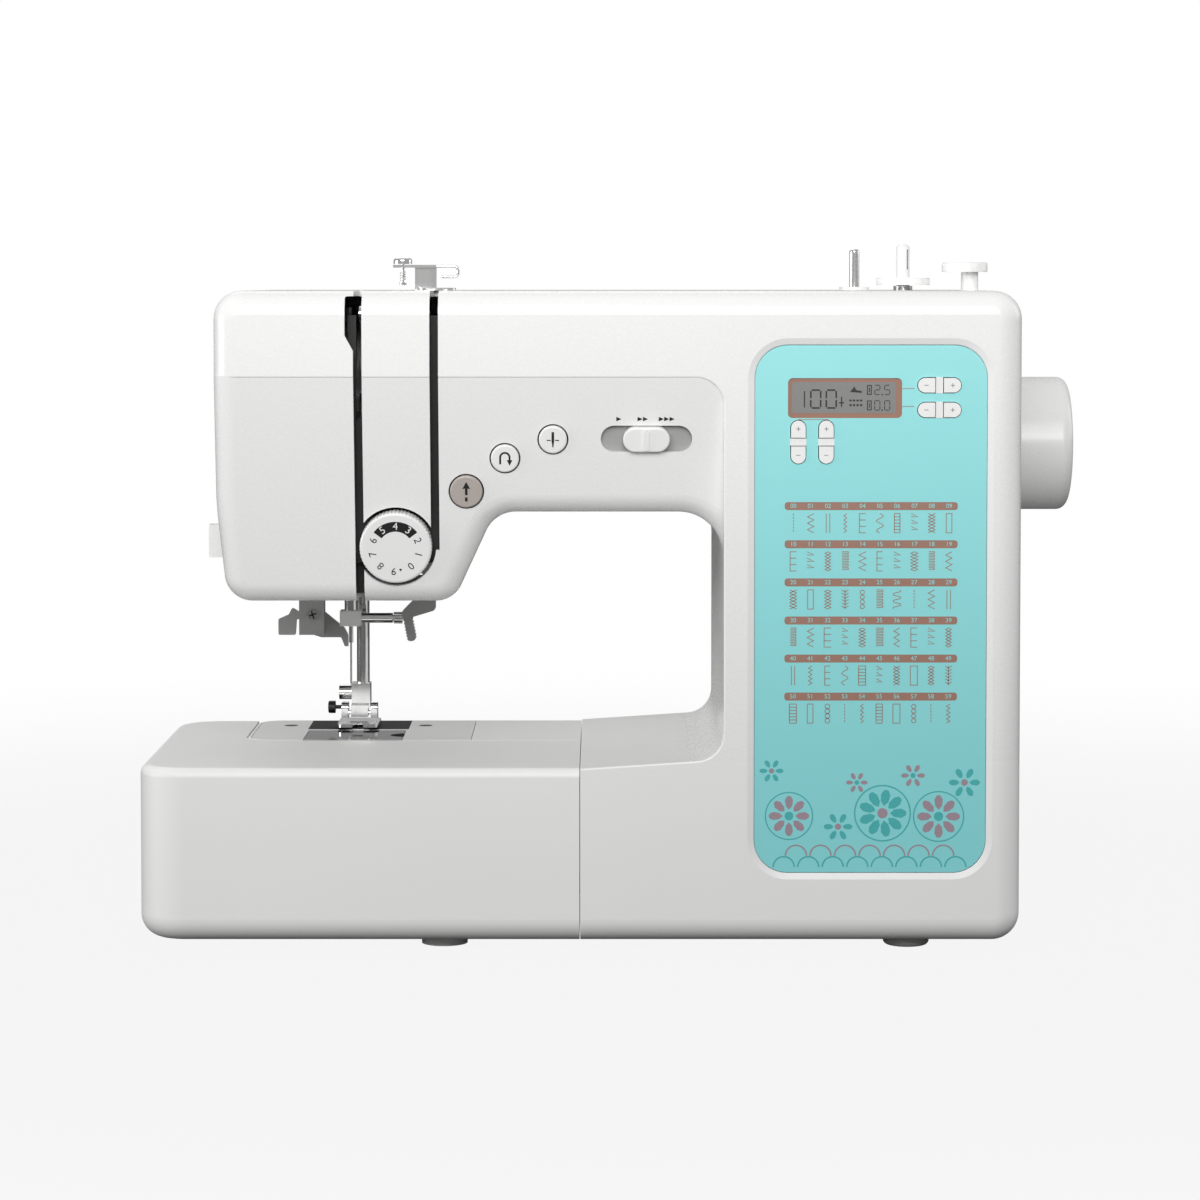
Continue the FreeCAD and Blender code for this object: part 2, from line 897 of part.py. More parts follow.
def arm_block(depth, top_z):
    """The arm and head behind their sloping front."""
    outline = inset(arm_outline(top_z + depth), depth)
    solid = prism(outline, "y", (front_y - front_round, seam_y))
    limits = solid.BoundBox
    setback = depth / math.cos(math.radians(slope_angle))
    behind = prism([
        (slope_y(limits.ZMin) + setback, limits.ZMin, 0.0),
        (seam_y, limits.ZMin, 0.0),
        (seam_y, limits.ZMax, 0.0),
        (slope_y(limits.ZMax) + setback, limits.ZMax, 0.0),
    ], "x", (limits.XMin, limits.XMax))
    solid = solid.common(behind)

    def on_face(edge):
        middle = edge.CenterOfMass
        flat = all(abs(v.Y - slope_y(v.Z) - setback) < 1e-4 for v in edge.Vertexes)
        inside = middle.x < limits.XMax - overlap and middle.z < limits.ZMax - overlap
        lap_end = edge_on(edge, "Z", arm_under_z - arm_lap_drop + depth)
        return flat and inside and not lap_end

    return rounded_edges(solid, arm_round - depth, on_face)


def doorway():
    """The way through the casing for what runs on into the free arm."""
    return box(around(bed_seam_x + wall / 2, wall),
               (free_arm_front + wall, free_arm_back - wall), (0, bed_height - wall))


def bottom_opening():
    inner_x = (bed_seam_x + wall, body_right_x - casing_corner - wall)
    inner_y = (front_y + front_round + wall, back_y - back_round - wall)
    return inner_x, inner_y


def bottom_hole():
    x, y = bottom_opening()
    return box(x, y, (0, foot_height + front_round + wall))


def thread_slots():
    deep = (front_y - overlap, front_y + slot_depth)
    half = slot_width / 2
    left = box(around(left_slot_x, half), deep, (head_bottom_z - overlap, body_height + overlap))
    right = box(around(right_slot_x, half), deep, (right_slot_bottom_z, body_height + overlap))
    mouth = prism([
        (left_slot_x - slot_mouth_left, slot_mouth_bottom_z, slot_mouth_round),
        (left_slot_x - half, slot_mouth_taper_z, 0.0),
        (left_slot_x + half, slot_mouth_taper_z, 0.0),
        (left_slot_x + half, slot_mouth_top_z, 0.0),
        (left_slot_x - slot_mouth_left, slot_mouth_top_z, slot_mouth_round),
    ], "y", deep)
    return left, right, mouth


def key_places():
    """Each rocker key: centre on the panel and its size across X and Z."""
    wide = (key_length, key_height)
    tall = (key_height, key_length)
    return {
        "width_key": ((panel_left_x + wide_key_x, width_key_z), wide),
        "length_key": ((panel_left_x + wide_key_x, length_key_z), wide),
        "tens_key": ((panel_left_x + tens_key_x, tall_key_z), tall),
        "units_key": ((panel_left_x + units_key_x, tall_key_z), tall),
    }


def grown(size, gap):
    return tuple(side + 2 * gap for side in size)


def key_bridge_bar(at, size, span):
    """The land between the two halves of a key."""
    if size[0] > size[1]:
        half = (key_bridge / 2, size[1] / 2 + overlap)
    else:
        half = (size[0] / 2 + overlap, key_bridge / 2)
    return box(around(at[0], half[0]), span, around(at[1], half[1]))


def panel_outline(margin):
    return inset(rectangle((panel_left_x, panel_left_x + panel_width),
                           (panel_bottom_z, panel_bottom_z + panel_height), panel_corner), -margin)


def lcd_outline(margin):
    left = panel_left_x + lcd_left
    return inset(rectangle((left, left + lcd_width), around(lcd_center_z, lcd_height / 2), lcd_corner),
                 -margin)


def speed_slot(gap, span):
    return pill("z", (0, 0), grown((speed_slot_length, speed_slot_height), gap), span)


def board_post_places():
    x = (panel_left_x + board_margin + board_post_inset,
         panel_left_x + panel_width - board_margin - board_post_inset)
    z = (board_bottom_z + board_post_inset, board_top_z - board_post_inset)
    return [(a, b) for a in x for b in z]


def front_cover():
    outer = joined(proud_block(0), arm_block(0, crease_z + arm_lap_top))
    hollow = joined(proud_block(wall), arm_block(wall, crease_z + arm_hollow_top))
    shell = cut(outer, hollow, bottom_hole(), doorway())

    # Panel seat: a thicker wall with a bevelled pocket
    pad_x = around(panel_left_x + panel_width / 2, panel_width / 2 + panel_pad_margin)
    pad_z = (panel_bottom_z - panel_pad_margin, panel_bottom_z + panel_height + panel_pad_margin)
    pad = box(pad_x, (front_y + wall - overlap, pad_back_y), pad_z)
    posts = [rod("y", at, board_post_radius, (pad_back_y - overlap, pad_back_y + board_standoff))
             for at in board_post_places()]
    pivot = rod("z", (winder_x, winder_pivot_y), winder_pivot_radius,
                (ceiling_z - winder_arm_gap - winder_arm_thickness - winder_arm_gap, ceiling_z + overlap))
    shell = joined(shell, pad, pivot, *posts)
    bevel = Part.makeLoft([rounded_wire(panel_outline(panel_bevel_width), "y", front_y),
                           rounded_wire(panel_outline(seam_gap), "y", panel_y)], True, True)
    pocket = prism(panel_outline(seam_gap), "y", (panel_y - overlap, panel_back_y))
    lcd_hole = prism(lcd_outline(seam_gap - lcd_frame_margin), "y", (panel_y, pad_back_y + overlap))
    shell = cut(shell, bevel, pocket, lcd_hole)
    for at, size in key_places().values():
        hole = pill("y", at, grown(size, slide_gap), (panel_y, pad_back_y + overlap))
        bridge = key_bridge_bar(at, size, (panel_y - overlap / 2, pad_back_y))
        land = bridge.common(pill("y", at, grown(size, slide_gap), (front_y, pad_back_y)))
        shell = joined(cut(shell, hole), land)

    # Slots and holes in the sloping face, the left side and the top
    through = (-2 * wall, 2 * wall)
    holes = [on_slope(rod("z", (0, 0), dial_radius + dial_ring_gap, through), dial_x, dial_z)]
    for x, z, radius in button_places().values():
        holes.append(on_slope(rod("z", (0, 0), radius + slide_gap, through), x, z))
    holes.append(on_slope(speed_slot(0, through), speed_x, speed_z))
    tab_gap = threader_arm_half_depth + slide_gap
    holes.append(box(around(head_left_x, 6 * wall), around(threader_tab_y, tab_gap),
                     (threader_arm_z - threader_travel - slide_gap,
                      threader_arm_z + threader_arm_height + slide_gap)))
    reach = winder_arm_reach * math.sin(math.radians(winder_swing))
    post = winder_post_radius + winder_post_gap
    holes.append(pill("z", (winder_x + reach / 2, winder_y),
                      (reach + 2 * post, 2 * post + winder_post_gap),
                      (ceiling_z - overlap, body_height + overlap)))
    holes.append(rod("z", (stop_x, winder_y), stop_shank_radius,
                     (ceiling_z - overlap, body_height + overlap)))
    return cut(shell, *thread_slots(), *holes)


def back_block(depth):
    back = back_y - depth
    solid = prism(inset(back_outline(), depth), "y", (seam_y, back))
    stub_x = bed_seam_x + depth

    def rim(edge):
        return edge_on(edge, "Y", back) and not edge_on(edge, "X", stub_x)

    return rounded_edges(solid, back_round - depth, rim)


def rear_cover():
    shell = cut(back_block(0), back_block(wall), bottom_hole(), doorway())
    seat = rod("z", (spool_x, spool_y), spool_seat_radius,
               (body_height - overlap, body_height + spool_seat_height))
    guide = rod("z", (spool_x, spool_y), spool_guide_radius,
                (ceiling_z - spool_guide_length, ceiling_z + overlap))
    shell = joined(shell, seat, guide)
    holes = [rod("z", (spool_x, spool_y), spool_stem_radius + fit_gap,
                 (ceiling_z - spool_guide_length - overlap, body_height + spool_seat_height + overlap))]

    # Under the head: the needle and presser bars, and the swing of the lifter
    head_x = (head_left_x + head_taper + wall + overlap, lifter_x + lifter_hub_radius)
    holes.append(box(head_x, (needle_y - casing_corner, frame_back_y),
                     (head_bottom_z - 4 * wall, head_bottom_z + 2 * wall)))
    lifter_y = around(presser_y, lifter_half_depth + 2 * slide_gap)
    holes.append(box((lifter_x, head_right_x + head_side_slant), lifter_y,
                     (head_bottom_z - 2 * wall, lifter_z + lifter_hub_radius)))

    # Right side: shaft, sockets and switch
    side = around(body_right_x - wall / 2, wall)
    holes.append(rod("x", (needle_y, shaft_z), shaft_radius + shaft_hole_gap, side))
    holes.append(box(side, around(socket_y, socket_half_depth + seam_gap),
                     around(socket_z, socket_half_height + seam_gap)))
    holes.append(box(side, around(socket_y, switch_half_depth + slide_gap),
                     around(switch_z, switch_radius + slide_gap)))

    # Back: vents and screw holes
    back = around(back_y - wall / 2, wall)
    vent_left = pillar_left_x + vent_inset
    for index in range(vent_count):
        at = (vent_left + vent_length / 2, vent_z + index * vent_pitch)
        holes.append(pill("y", at, (vent_length, vent_width), back))
    for spot in back_screw_places():
        holes.append(rod("y", spot, screw_shank_radius + fit_gap, back))
        holes.append(rod("y", spot, screw_head_radius + fit_gap,
                         (back_y - screw_head_height, back_y + overlap)))
    return cut(shell, *holes)


def free_arm_outline():
    right = bed_seam_x - seam_gap
    return [
        (free_arm_left_x, free_arm_front, free_arm_corner),
        (right, free_arm_front, 0.0),
        (right, free_arm_back, 0.0),
        (free_arm_left_x, free_arm_back, free_arm_corner),
    ]


def plate_outline(gap):
    right = plate_left_x + plate_width
    return inset([
        (plate_left_x, plate_front_y, plate_corner),
        (right, plate_front_y, 0.0),
        (right, plate_back_y, 0.0),
        (plate_left_x, plate_back_y, plate_corner),
    ], -gap)


def free_arm_cover():
    shell = prism(free_arm_outline(), "z", (foot_height, bed_height))
    right = bed_seam_x - seam_gap
    shell = rounded_edges(shell, free_arm_edge,
                          lambda edge: edge_on(edge, "Z", bed_height) and not edge_on(edge, "X", right))
    hollow = inset(free_arm_outline(), wall)
    hollow = [(a + wall if a > stitch_x else a, b, radius) for a, b, radius in hollow]
    seat = prism(plate_outline(seam_gap), "z", (bed_height - plate_thickness, bed_height + overlap))
    window = prism(plate_outline(-ledge_width), "z", (bed_height - 4 * wall, bed_height))
    return cut(shell, prism(hollow, "z", (0, bed_height - 2 * plate_thickness)), seat, window,
               bobbin_cover_block(seam_gap))


def base_plate():
    x, y = bottom_opening()
    body = box((x[0] + seam_gap, x[1] - seam_gap), (y[0] + seam_gap, y[1] - seam_gap),
               (foot_height, base_top_z))
    arm = inset(free_arm_outline(), wall + seam_gap)
    reach = bed_seam_x + 2 * wall
    arm = [(reach if a > stitch_x else a, b, radius) for a, b, radius in arm]
    return joined(body, prism(arm, "z", (foot_height, base_top_z)))


def flat_bed_outline():
    right = bed_seam_x - seam_gap
    front = free_arm_front - seam_gap
    side = free_arm_left_x - seam_gap
    return [
        (left_end_x, front_y, flat_bed_corner),
        (right, front_y, 0.0),
        (right, front, 0.0),
        (side, front, free_arm_corner + seam_gap),
        (side, free_arm_back, 0.0),
        (left_end_x, free_arm_back, flat_bed_corner),
    ]


def flat_bed_block(depth):
    """The attachment's body with its rounded outer edges."""
    top = bed_height - depth
    bottom = foot_height + depth
    solid = prism(inset(flat_bed_outline(), depth), "z", (bottom, top))
    limits = solid.BoundBox

    def outer(edge):
        middle = edge.CenterOfMass
        reach = flat_bed_corner
        near = middle.x < limits.XMin + reach or middle.y < limits.YMin + reach
        return near and not edge_on(edge, "X", limits.XMax)

    solid = rounded_edges(solid, flat_bed_top_round - depth, lambda e: edge_on(e, "Z", top) and outer(e))
    return rounded_edges(solid, flat_bed_bottom_round - depth,
                         lambda e: edge_on(e, "Z", bottom) and outer(e))


def flat_bed_attachment():
    """A hollow box that wraps the free arm, open towards it as an accessory store."""
    hollow = flat_bed_block(wall)
    store = box((free_arm_left_x + free_arm_corner, bed_seam_x - seam_gap - wall),
                (free_arm_front - 2 * wall, free_arm_front), (foot_height + wall, bed_height - wall))
    shell = cut(flat_bed_block(0), hollow, store)
    feet = [rod("z", (left_end_x + x, front_y + y), flat_bed_foot_radius, (0, foot_height + wall / 2))
            for x, y in flat_bed_foot_spots]
    return joined(shell, *feet)


def main_frame():
    """Cast frame: a C-shaped back plate with lugs for every shaft and bar."""
    deep = (frame_y, frame_back_y)
    left = needle_x - frame_left
    top = body_height - frame_top_gap
    pillar_x = (pillar_left_x + frame_pillar_inset, motor_bracket_x + motor_bracket_thickness)
    arm = box((left, body_right_x - frame_right_inset), deep, (shaft_z - frame_arm_height, top))
    head = box((left, left + frame_head_width), deep, (head_bottom_z + wall + overlap, top))
    pillar = box(pillar_x, deep, (frame_foot_z, top))
    bed = box((left, pillar_x[1]), deep, (frame_foot_z, frame_foot_z + frame_bed_height))
    lug_y = (needle_y - lug_half_height, frame_y)
    lugs = []
    for x, z in bushing_places():
        lugs.append(box(around(x, lug_half_width), lug_y, around(z, lug_half_height)))
    presser_lug_y = (presser_y - presser_lug_front, frame_y)
    for z in (presser_lug_lower_z, presser_lug_upper_z):
        lugs.append(box(around(presser_x, presser_lug_half_width), presser_lug_y,
                        (z, z + presser_lug_height)))
    lugs.append(box(around(threader_x, threader_lug_half_width),
                    (needle_y - threader_lug_half_width, frame_y),
                    (threader_lug_z, threader_lug_z + threader_lug_height)))
    lugs.append(box(around(stitch_x, hook_lug_half_width), (hook_y - hook_lug_half_width, frame_y),
                    (hook_lug_z, hook_lug_z + hook_lug_height)))
    take_up_right = take_up_pin_x() + take_up_block_length
    lugs.append(box((take_up_pin_x(), take_up_right), (take_up_y - take_up_block_half_height, frame_y),
                    around(take_up_z, take_up_block_half_height)))
    lugs.append(rod("x", (take_up_y, take_up_z), take_up_pin_radius,
                    (left_slot_x - 2 * take_up_thickness, take_up_right)))
    lugs.append(rod("y", (needle_x, swing_pivot_z), swing_pivot_radius,
                    (needle_y + swing_plate_back, frame_back_y)))
    lugs.append(rod("y", (lifter_x, lifter_z), lifter_pin_radius,
                    (presser_y - lifter_half_depth, frame_back_y)))
    lugs.append(box((motor_bracket_x, motor_bracket_x + motor_bracket_thickness),
                    (motor_y - motor_bracket_front, frame_back_y), around(motor_z,
                                                                          motor_bracket_half_height)))
    bores = [rod("x", (needle_y, z), bushing_radius, around(x, 2 * lug_half_width)) for x,
             z in bushing_places()]
    for z in (presser_lug_lower_z, presser_lug_upper_z):
        bores.append(rod("z", (presser_x, presser_y), presser_radius + fit_gap,
                         (z - overlap, z + presser_lug_height + overlap)))
    bores.append(rod("z", (threader_x, needle_y), threader_bar_radius + fit_gap,
                     (threader_lug_z - overlap, threader_lug_z + threader_lug_height + overlap)))
    bores.append(rod("z", (stitch_x, hook_y), hook_shaft_radius + fit_gap,
                     (hook_lug_z - overlap, hook_lug_z + hook_lug_height + overlap)))
    bores.append(rod("x", (motor_y, motor_z), motor_boss_radius,
                     around(motor_bracket_x, 3 * motor_bracket_thickness)))
    return cut(joined(arm, head, pillar, bed, *lugs), *bores)


def back_screw_places():
    """X and Z of the screws that hold the rear cover to the frame's plate."""
    top = body_height - frame_top_gap - back_screw_inset
    left = needle_x - frame_left + back_screw_inset
    right = body_right_x - frame_right_inset - back_screw_inset
    pillar = pillar_left_x + frame_pillar_inset + back_screw_inset
    bed = frame_foot_z + frame_bed_height / 2
    return [(left, top), (right, top), (pillar, arm_under_z), (bed_seam_x + bed_stub / 2, bed)]


def bushing_places():
    """X and Z of each bushing; all lie in the needle's plane."""
    return [
        (left_lug_x, shaft_z),
        (middle_lug_x, shaft_z),
        (right_lug_x, shaft_z),
        (left_lug_x, lower_shaft_z),
        (middle_lug_x, lower_shaft_z),
    ]


def take_up_pin_x():
    return needle_x + take_up_pin_offset


def shaft_bushings():
    bushes = []
    for x, z in bushing_places():
        radius = shaft_radius if z == shaft_z else lower_shaft_radius
        bushes.append(ring("x", (needle_y, z), bushing_radius, radius + fit_gap,
                           around(x, bushing_length / 2)))
    return Part.makeCompound(bushes)


def feet():
    x, y = bottom_opening()
    left, right = x[0] + foot_left_inset, x[1] - foot_right_inset
    spots = [(left, y[0] + foot_hidden_inset), (left, y[1] - foot_end_inset),
             (right, y[0] + foot_end_inset), (right, y[1] - foot_end_inset)]
    spots.append((free_arm_left_x + arm_foot_inset, (free_arm_front + free_arm_back) / 2))
    pads = []
    for spot in spots:
        pad = rod("z", spot, foot_radius, (0, foot_height))
        pads.append(rounded_edges(pad, foot_round, lambda edge: edge_on(edge, "Z", 0)))
    return Part.makeCompound(pads)


def case_screws():
    screws = []
    for x, y in plate_screw_spots:
        at = (needle_x + x, needle_y + y)
        head = rod("z", at, screw_head_radius, (bed_height - plate_thickness / 2, bed_height))
        shank = rod("z", at, screw_shank_radius,
                    (bed_height - plate_screw_length, bed_height - plate_thickness / 2))
        slot = box(around(at[0], screw_head_radius), around(at[1], screw_slot_width / 2),
                   (bed_height - plate_thickness / 4, bed_height))
        screws.append(cut(joined(head, shank), slot))
    for spot in back_screw_places():
        head_y = back_y - screw_head_height
        head = rod("y", spot, screw_head_radius, (head_y, back_y - overlap))
        shank = rod("y", spot, screw_shank_radius, (frame_back_y, head_y))
        slot = box(around(spot[0], screw_head_radius), (back_y - screw_slot_depth, back_y),
                   around(spot[1], screw_slot_width / 2))
        screws.append(cut(joined(head, shank), slot))
    return Part.makeCompound(screws)


# Bed


def bobbin_cover_block(gap):
    x = around(stitch_x, cover_width / 2 + gap)
    return box(x, (cover_front_y - gap, cover_back_y + gap), (bed_height - plate_thickness, bed_height))


def feed_rows():
    """X offset, start and length of each row of feed teeth, from the needle."""
    return [
        (-feed_row_offset, feed_row_start, feed_row_length),
        (feed_row_offset, feed_row_start, feed_row_length),
        (0.0, feed_row_start + feed_row_length / 2, feed_row_length / 2),
    ]


def needle_plate():
    bottom = bed_height - plate_thickness
    plate = prism(plate_outline(0), "z", (bottom, bed_height))
    tools = [bobbin_cover_block(seam_gap)]
    thick = (bottom - overlap, bed_height + overlap)
    tools.append(pill("z", (stitch_x, needle_y), (needle_slot_length, needle_slot_width), thick))
    for offset, start, length in feed_rows():
        x = around(stitch_x + offset, feed_row_width / 2 + slide_gap)
        room = feed_stroke + 2 * slide_gap
        tools.append(box(x, (needle_y + start - room, needle_y + start + length + room), thick))
    for x, y in plate_screw_spots:
        at = (needle_x + x, needle_y + y)
        tools.append(rod("z", at, screw_shank_radius, thick))
        tools.append(rod("z", at, screw_head_radius,
                         (bed_height - plate_thickness / 2, bed_height + overlap)))
    return cut(plate, *tools)


def bobbin_cover():
    lid = bobbin_cover_block(0)
    notch = rod("z", (stitch_x + cover_width / 2, cover_front_y + cover_depth / 2), cover_notch_radius,
                (bed_height - plate_thickness, bed_height))
    return cut(lid, notch)


def feed_dog():
    top = bed_height + feed_height
    carrier_top = bed_height - feed_carrier_drop
    carrier_bottom = carrier_top - feed_carrier_thickness
    half = feed_row_offset + feed_row_width
    rear = needle_y + feed_row_start + feed_row_length
    carrier = box(around(stitch_x, half), (needle_y + feed_row_start, rear),
                  (carrier_bottom, carrier_top))
    post = box(around(stitch_x, half), (rear - feed_post_depth, rear),
               (carrier_bottom - feed_post_height, carrier_top))
    rows = []
    for offset, start, length in feed_rows():
        x = around(stitch_x + offset, feed_row_width / 2)
        pitch = feed_row_length / feed_teeth
        count = round(length / pitch)
        profile = [(needle_y + start, carrier_bottom, 0.0)]
        profile.append((needle_y + start + length, carrier_bottom, 0.0))
        for index in reversed(range(count)):
            begin = needle_y + start + index * pitch
            profile.append((begin + pitch, top, 0.0))
            profile.append((begin, top - feed_tooth_depth, 0.0))
        rows.append(prism(profile, "x", x))
    clear = box(around(stitch_x, needle_slot_length / 2 + slide_gap),
                (needle_y + feed_row_start - overlap, needle_y + needle_slot_width + feed_stroke),
                (carrier_bottom - overlap, carrier_top + overlap))
    return joined(cut(carrier, clear), post, *rows)


def rotary_hook():
    at = (stitch_x, hook_y)
    shaft = rod("z", at, hook_shaft_radius, (hook_shaft_bottom_z, hook_floor_z + overlap))
    gear = toothed_wheel("z", at, hook_gear_radius, hook_gear_teeth, gear_tooth_depth,
                         around(hook_gear_z, hook_gear_half_height))
    cup = rod("z", at, hook_radius, (hook_floor_z, hook_top_z))
    hollow = rod("z", at, hook_radius - hook_cup_wall, (hook_floor_z + hook_floor, hook_top_z + overlap))
    return joined(cut(cup, hollow), shaft, gear)


def case_floor_z():
    return hook_floor_z + hook_floor + case_gap


def bobbin_case():
    at = (stitch_x, hook_y)
    outer = rod("z", at, hook_radius - hook_cup_wall - case_gap, (case_floor_z(), case_top_z))
    hollow = rod("z", at, bobbin_radius + case_gap, (case_floor_z() + case_floor, case_top_z + overlap))
    return cut(outer, hollow)


def bobbin():
    at = (stitch_x, hook_y)
    bottom = case_floor_z() + case_floor + case_gap
    top = bottom + bobbin_height
    core = rod("z", at, bobbin_core, (bottom, top))
    lower = rod("z", at, bobbin_radius, (bottom, bottom + bobbin_flange))
    upper = rod("z", at, bobbin_radius, (top - bobbin_flange, top))
    return cut(joined(core, lower, upper), rod("z", at, bobbin_bore, (bottom - overlap, top + overlap)))


def lower_shaft():
    at = (needle_y, lower_shaft_z)
    left = stitch_x - bottom_gear_half_width - overlap
    right = timing_pulley_x + timing_pulley_width
    shaft = rod("x", at, lower_shaft_radius, (left, right))
    gear = toothed_wheel("x", at, bottom_gear_radius, bottom_gear_teeth, gear_tooth_depth,
                         around(stitch_x, bottom_gear_half_width))
    pulley = rod("x", at, timing_pulley_radius, around(timing_pulley_x, timing_pulley_width / 2))
    return joined(shaft, gear, pulley)


# Main drive


def upper_shaft():
    return rod("x", (needle_y, shaft_z), shaft_radius, (crank_x, right_end_x - handwheel_web))


def handwheel():
    at = (needle_y, shaft_z)
    inner_x = body_right_x + handwheel_gap
    wheel = rod("x", at, handwheel_radius, (inner_x, right_end_x))
    wheel = rounded_edges(wheel, handwheel_round, lambda edge: edge_on(edge, "X", right_end_x))
    hollow = ring("x", at, handwheel_radius - handwheel_rim, handwheel_hub_radius,
                  (inner_x - overlap, right_end_x - handwheel_web))
    bore = rod("x", at, shaft_radius, (inner_x - overlap, right_end_x - handwheel_web))
    return cut(wheel, hollow, bore)


def drive_pulley():
    at = (needle_y, shaft_z)
    left = belt_pulley_x - belt_pulley_width / 2
    right = timing_pulley_x + timing_pulley_width / 2
    hub = rod("x", at, pulley_hub_radius, (left, right))
    large = rod("x", at, belt_pulley_radius, around(belt_pulley_x, belt_pulley_width / 2))
    small = rod("x", at, timing_pulley_radius, around(timing_pulley_x, timing_pulley_width / 2))
    return cut(joined(hub, large, small), rod("x", at, shaft_radius, (left - overlap, right + overlap)))


def needle_bar_crank():
    at = (needle_y, shaft_z)
    disc = rod("x", at, crank_radius, (crank_x, crank_x + crank_width))
    pin = rod("x", (needle_y, shaft_z + crank_reach), crank_pin_radius,
              (crank_x - crank_pin_length, crank_x + overlap))
    return cut(joined(disc, pin), rod("x", at, shaft_radius, (crank_x, crank_x + crank_width + overlap)))


def motor():
    at = (motor_y, motor_z)
    can = rod("x", at, motor_radius, (motor_x, motor_x + motor_length))
    boss = rod("x", at, motor_boss_radius, (motor_bracket_x, motor_x + overlap))
    bore = rod("x", at, motor_shaft_radius + fit_gap,
               (motor_bracket_x - overlap, motor_x + motor_length / 2))
    return cut(joined(can, boss), bore)


def motor_pulley():
    at = (motor_y, motor_z)
    wheel = rod("x", at, motor_pulley_radius, around(belt_pulley_x, belt_pulley_width / 2))
    return joined(wheel,
                  rod("x", at, motor_shaft_radius, (belt_pulley_x, motor_x + motor_length / 2 - overlap)))


def belt(start, start_radius, end, end_radius, x, width):
    """A flat belt that runs clear of its two wheels by the slide gap."""
    span = around(x, width / 2 - belt_margin)
    inside = belt_loop("x", start, start_radius + slide_gap, end, end_radius + slide_gap, span)
    reach = slide_gap + belt_thickness
    return belt_loop("x", start, start_radius + reach, end, end_radius + reach, span).cut(inside)


def motor_belt():
    return belt((needle_y, shaft_z), belt_pulley_radius, (motor_y, motor_z), motor_pulley_radius,
                belt_pulley_x, belt_pulley_width)


def timing_belt():
    return belt((needle_y, shaft_z), timing_pulley_radius, (needle_y, lower_shaft_z),
                timing_pulley_radius,
                timing_pulley_x, timing_pulley_width)


# Needle


def needle_bar_frame():
    """Swings the needle bar sideways from a pivot at its top."""
    back = needle_y + swing_plate_back
    x = around(needle_x, swing_half_width)
    top = swing_pivot_z + swing_half_width
    plate = box(x, (back, back + swing_plate_thickness), (swing_lower_z, swing_pivot_z))
    crown = rod("y", (needle_x, swing_pivot_z), swing_half_width, (back, back + swing_plate_thickness))
    lugs = [box(x, (needle_y - swing_front, back + overlap), (z, z + swing_lug_height))
            for z in (swing_lower_z, swing_upper_z)]
    bar = rod("z", (needle_x, needle_y), needle_bar_radius + fit_gap, (swing_lower_z - overlap, top))
    pin = rod("y", (needle_x, swing_pivot_z), swing_pivot_radius + fit_gap,
              (back - overlap, back + swing_plate_thickness + overlap))
    return cut(joined(plate, crown, *lugs), bar, pin)


def clamp_top_z():
    return needle_clamp_bottom_z + needle_clamp_height


def needle_bar():
    return rod("z", (needle_x, needle_y), needle_bar_radius, (clamp_top_z(), needle_bar_top_z))


def needle_clamp():
    block = box(around(needle_x, needle_clamp_width / 2), around(needle_y, needle_clamp_depth / 2),
                (needle_clamp_bottom_z, clamp_top_z()))
    bore = rod("z", (needle_x, needle_y), needle_shank_radius,
               (needle_clamp_bottom_z, clamp_top_z() - needle_socket_roof))
    screw_z = needle_clamp_bottom_z + needle_clamp_height / 2
    thread = rod("x", (needle_y, screw_z), clamp_screw_radius,
                 (needle_x, needle_x + needle_clamp_width))
    return cut(block, bore, thread)


def needle_clamp_screw():
    screw_z = needle_clamp_bottom_z + needle_clamp_height / 2
    start = needle_x + needle_shank_radius
    end = needle_x + needle_clamp_width / 2 + clamp_screw_length
    knob = toothed_wheel("x", (needle_y, screw_z), clamp_knob_radius, hook_gear_teeth,
                         clamp_knob_radius / 10,
                         (end, end + clamp_knob_length))
    side = needle_x + needle_clamp_width / 2
    shoulder = rod("x", (needle_y, screw_z), clamp_shoulder_radius, (side, end - overlap))
    return joined(rod("x", (needle_y, screw_z), clamp_screw_radius, (start, end + overlap)), shoulder, knob)


def needle():
    at = (needle_x, needle_y)
    tip_z = needle_clamp_bottom_z - needle_length
    shank_z = needle_clamp_bottom_z - needle_shank_length
    shank = rod("z", at, needle_shank_radius, (shank_z, clamp_top_z() - needle_socket_roof))
    blade = rod("z", at, needle_blade_radius, (tip_z + needle_tip_length, shank_z + overlap))
    tip = Part.makeCone(0, needle_blade_radius, needle_tip_length, Vector(*at, tip_z))
    return joined(shank, blade, tip)


def needle_bar_link():
    """Collar on the needle bar with the link up towards the crank pin."""
    collar_z = shaft_z + crank_reach - link_length
    collar = ring("z", (needle_x, needle_y), link_eye_radius, needle_bar_radius,
                  around(collar_z, collar_height / 2))
    left = needle_x + link_offset
    stud = rod("x", (needle_y, collar_z), stud_radius,
               (needle_x + needle_bar_radius + overlap, left + overlap))
    link = capsule("x", (needle_y, collar_z), (needle_y, collar_z + link_length), link_eye_radius,
                   (left, left + link_thickness))
    return joined(collar, stud, link)


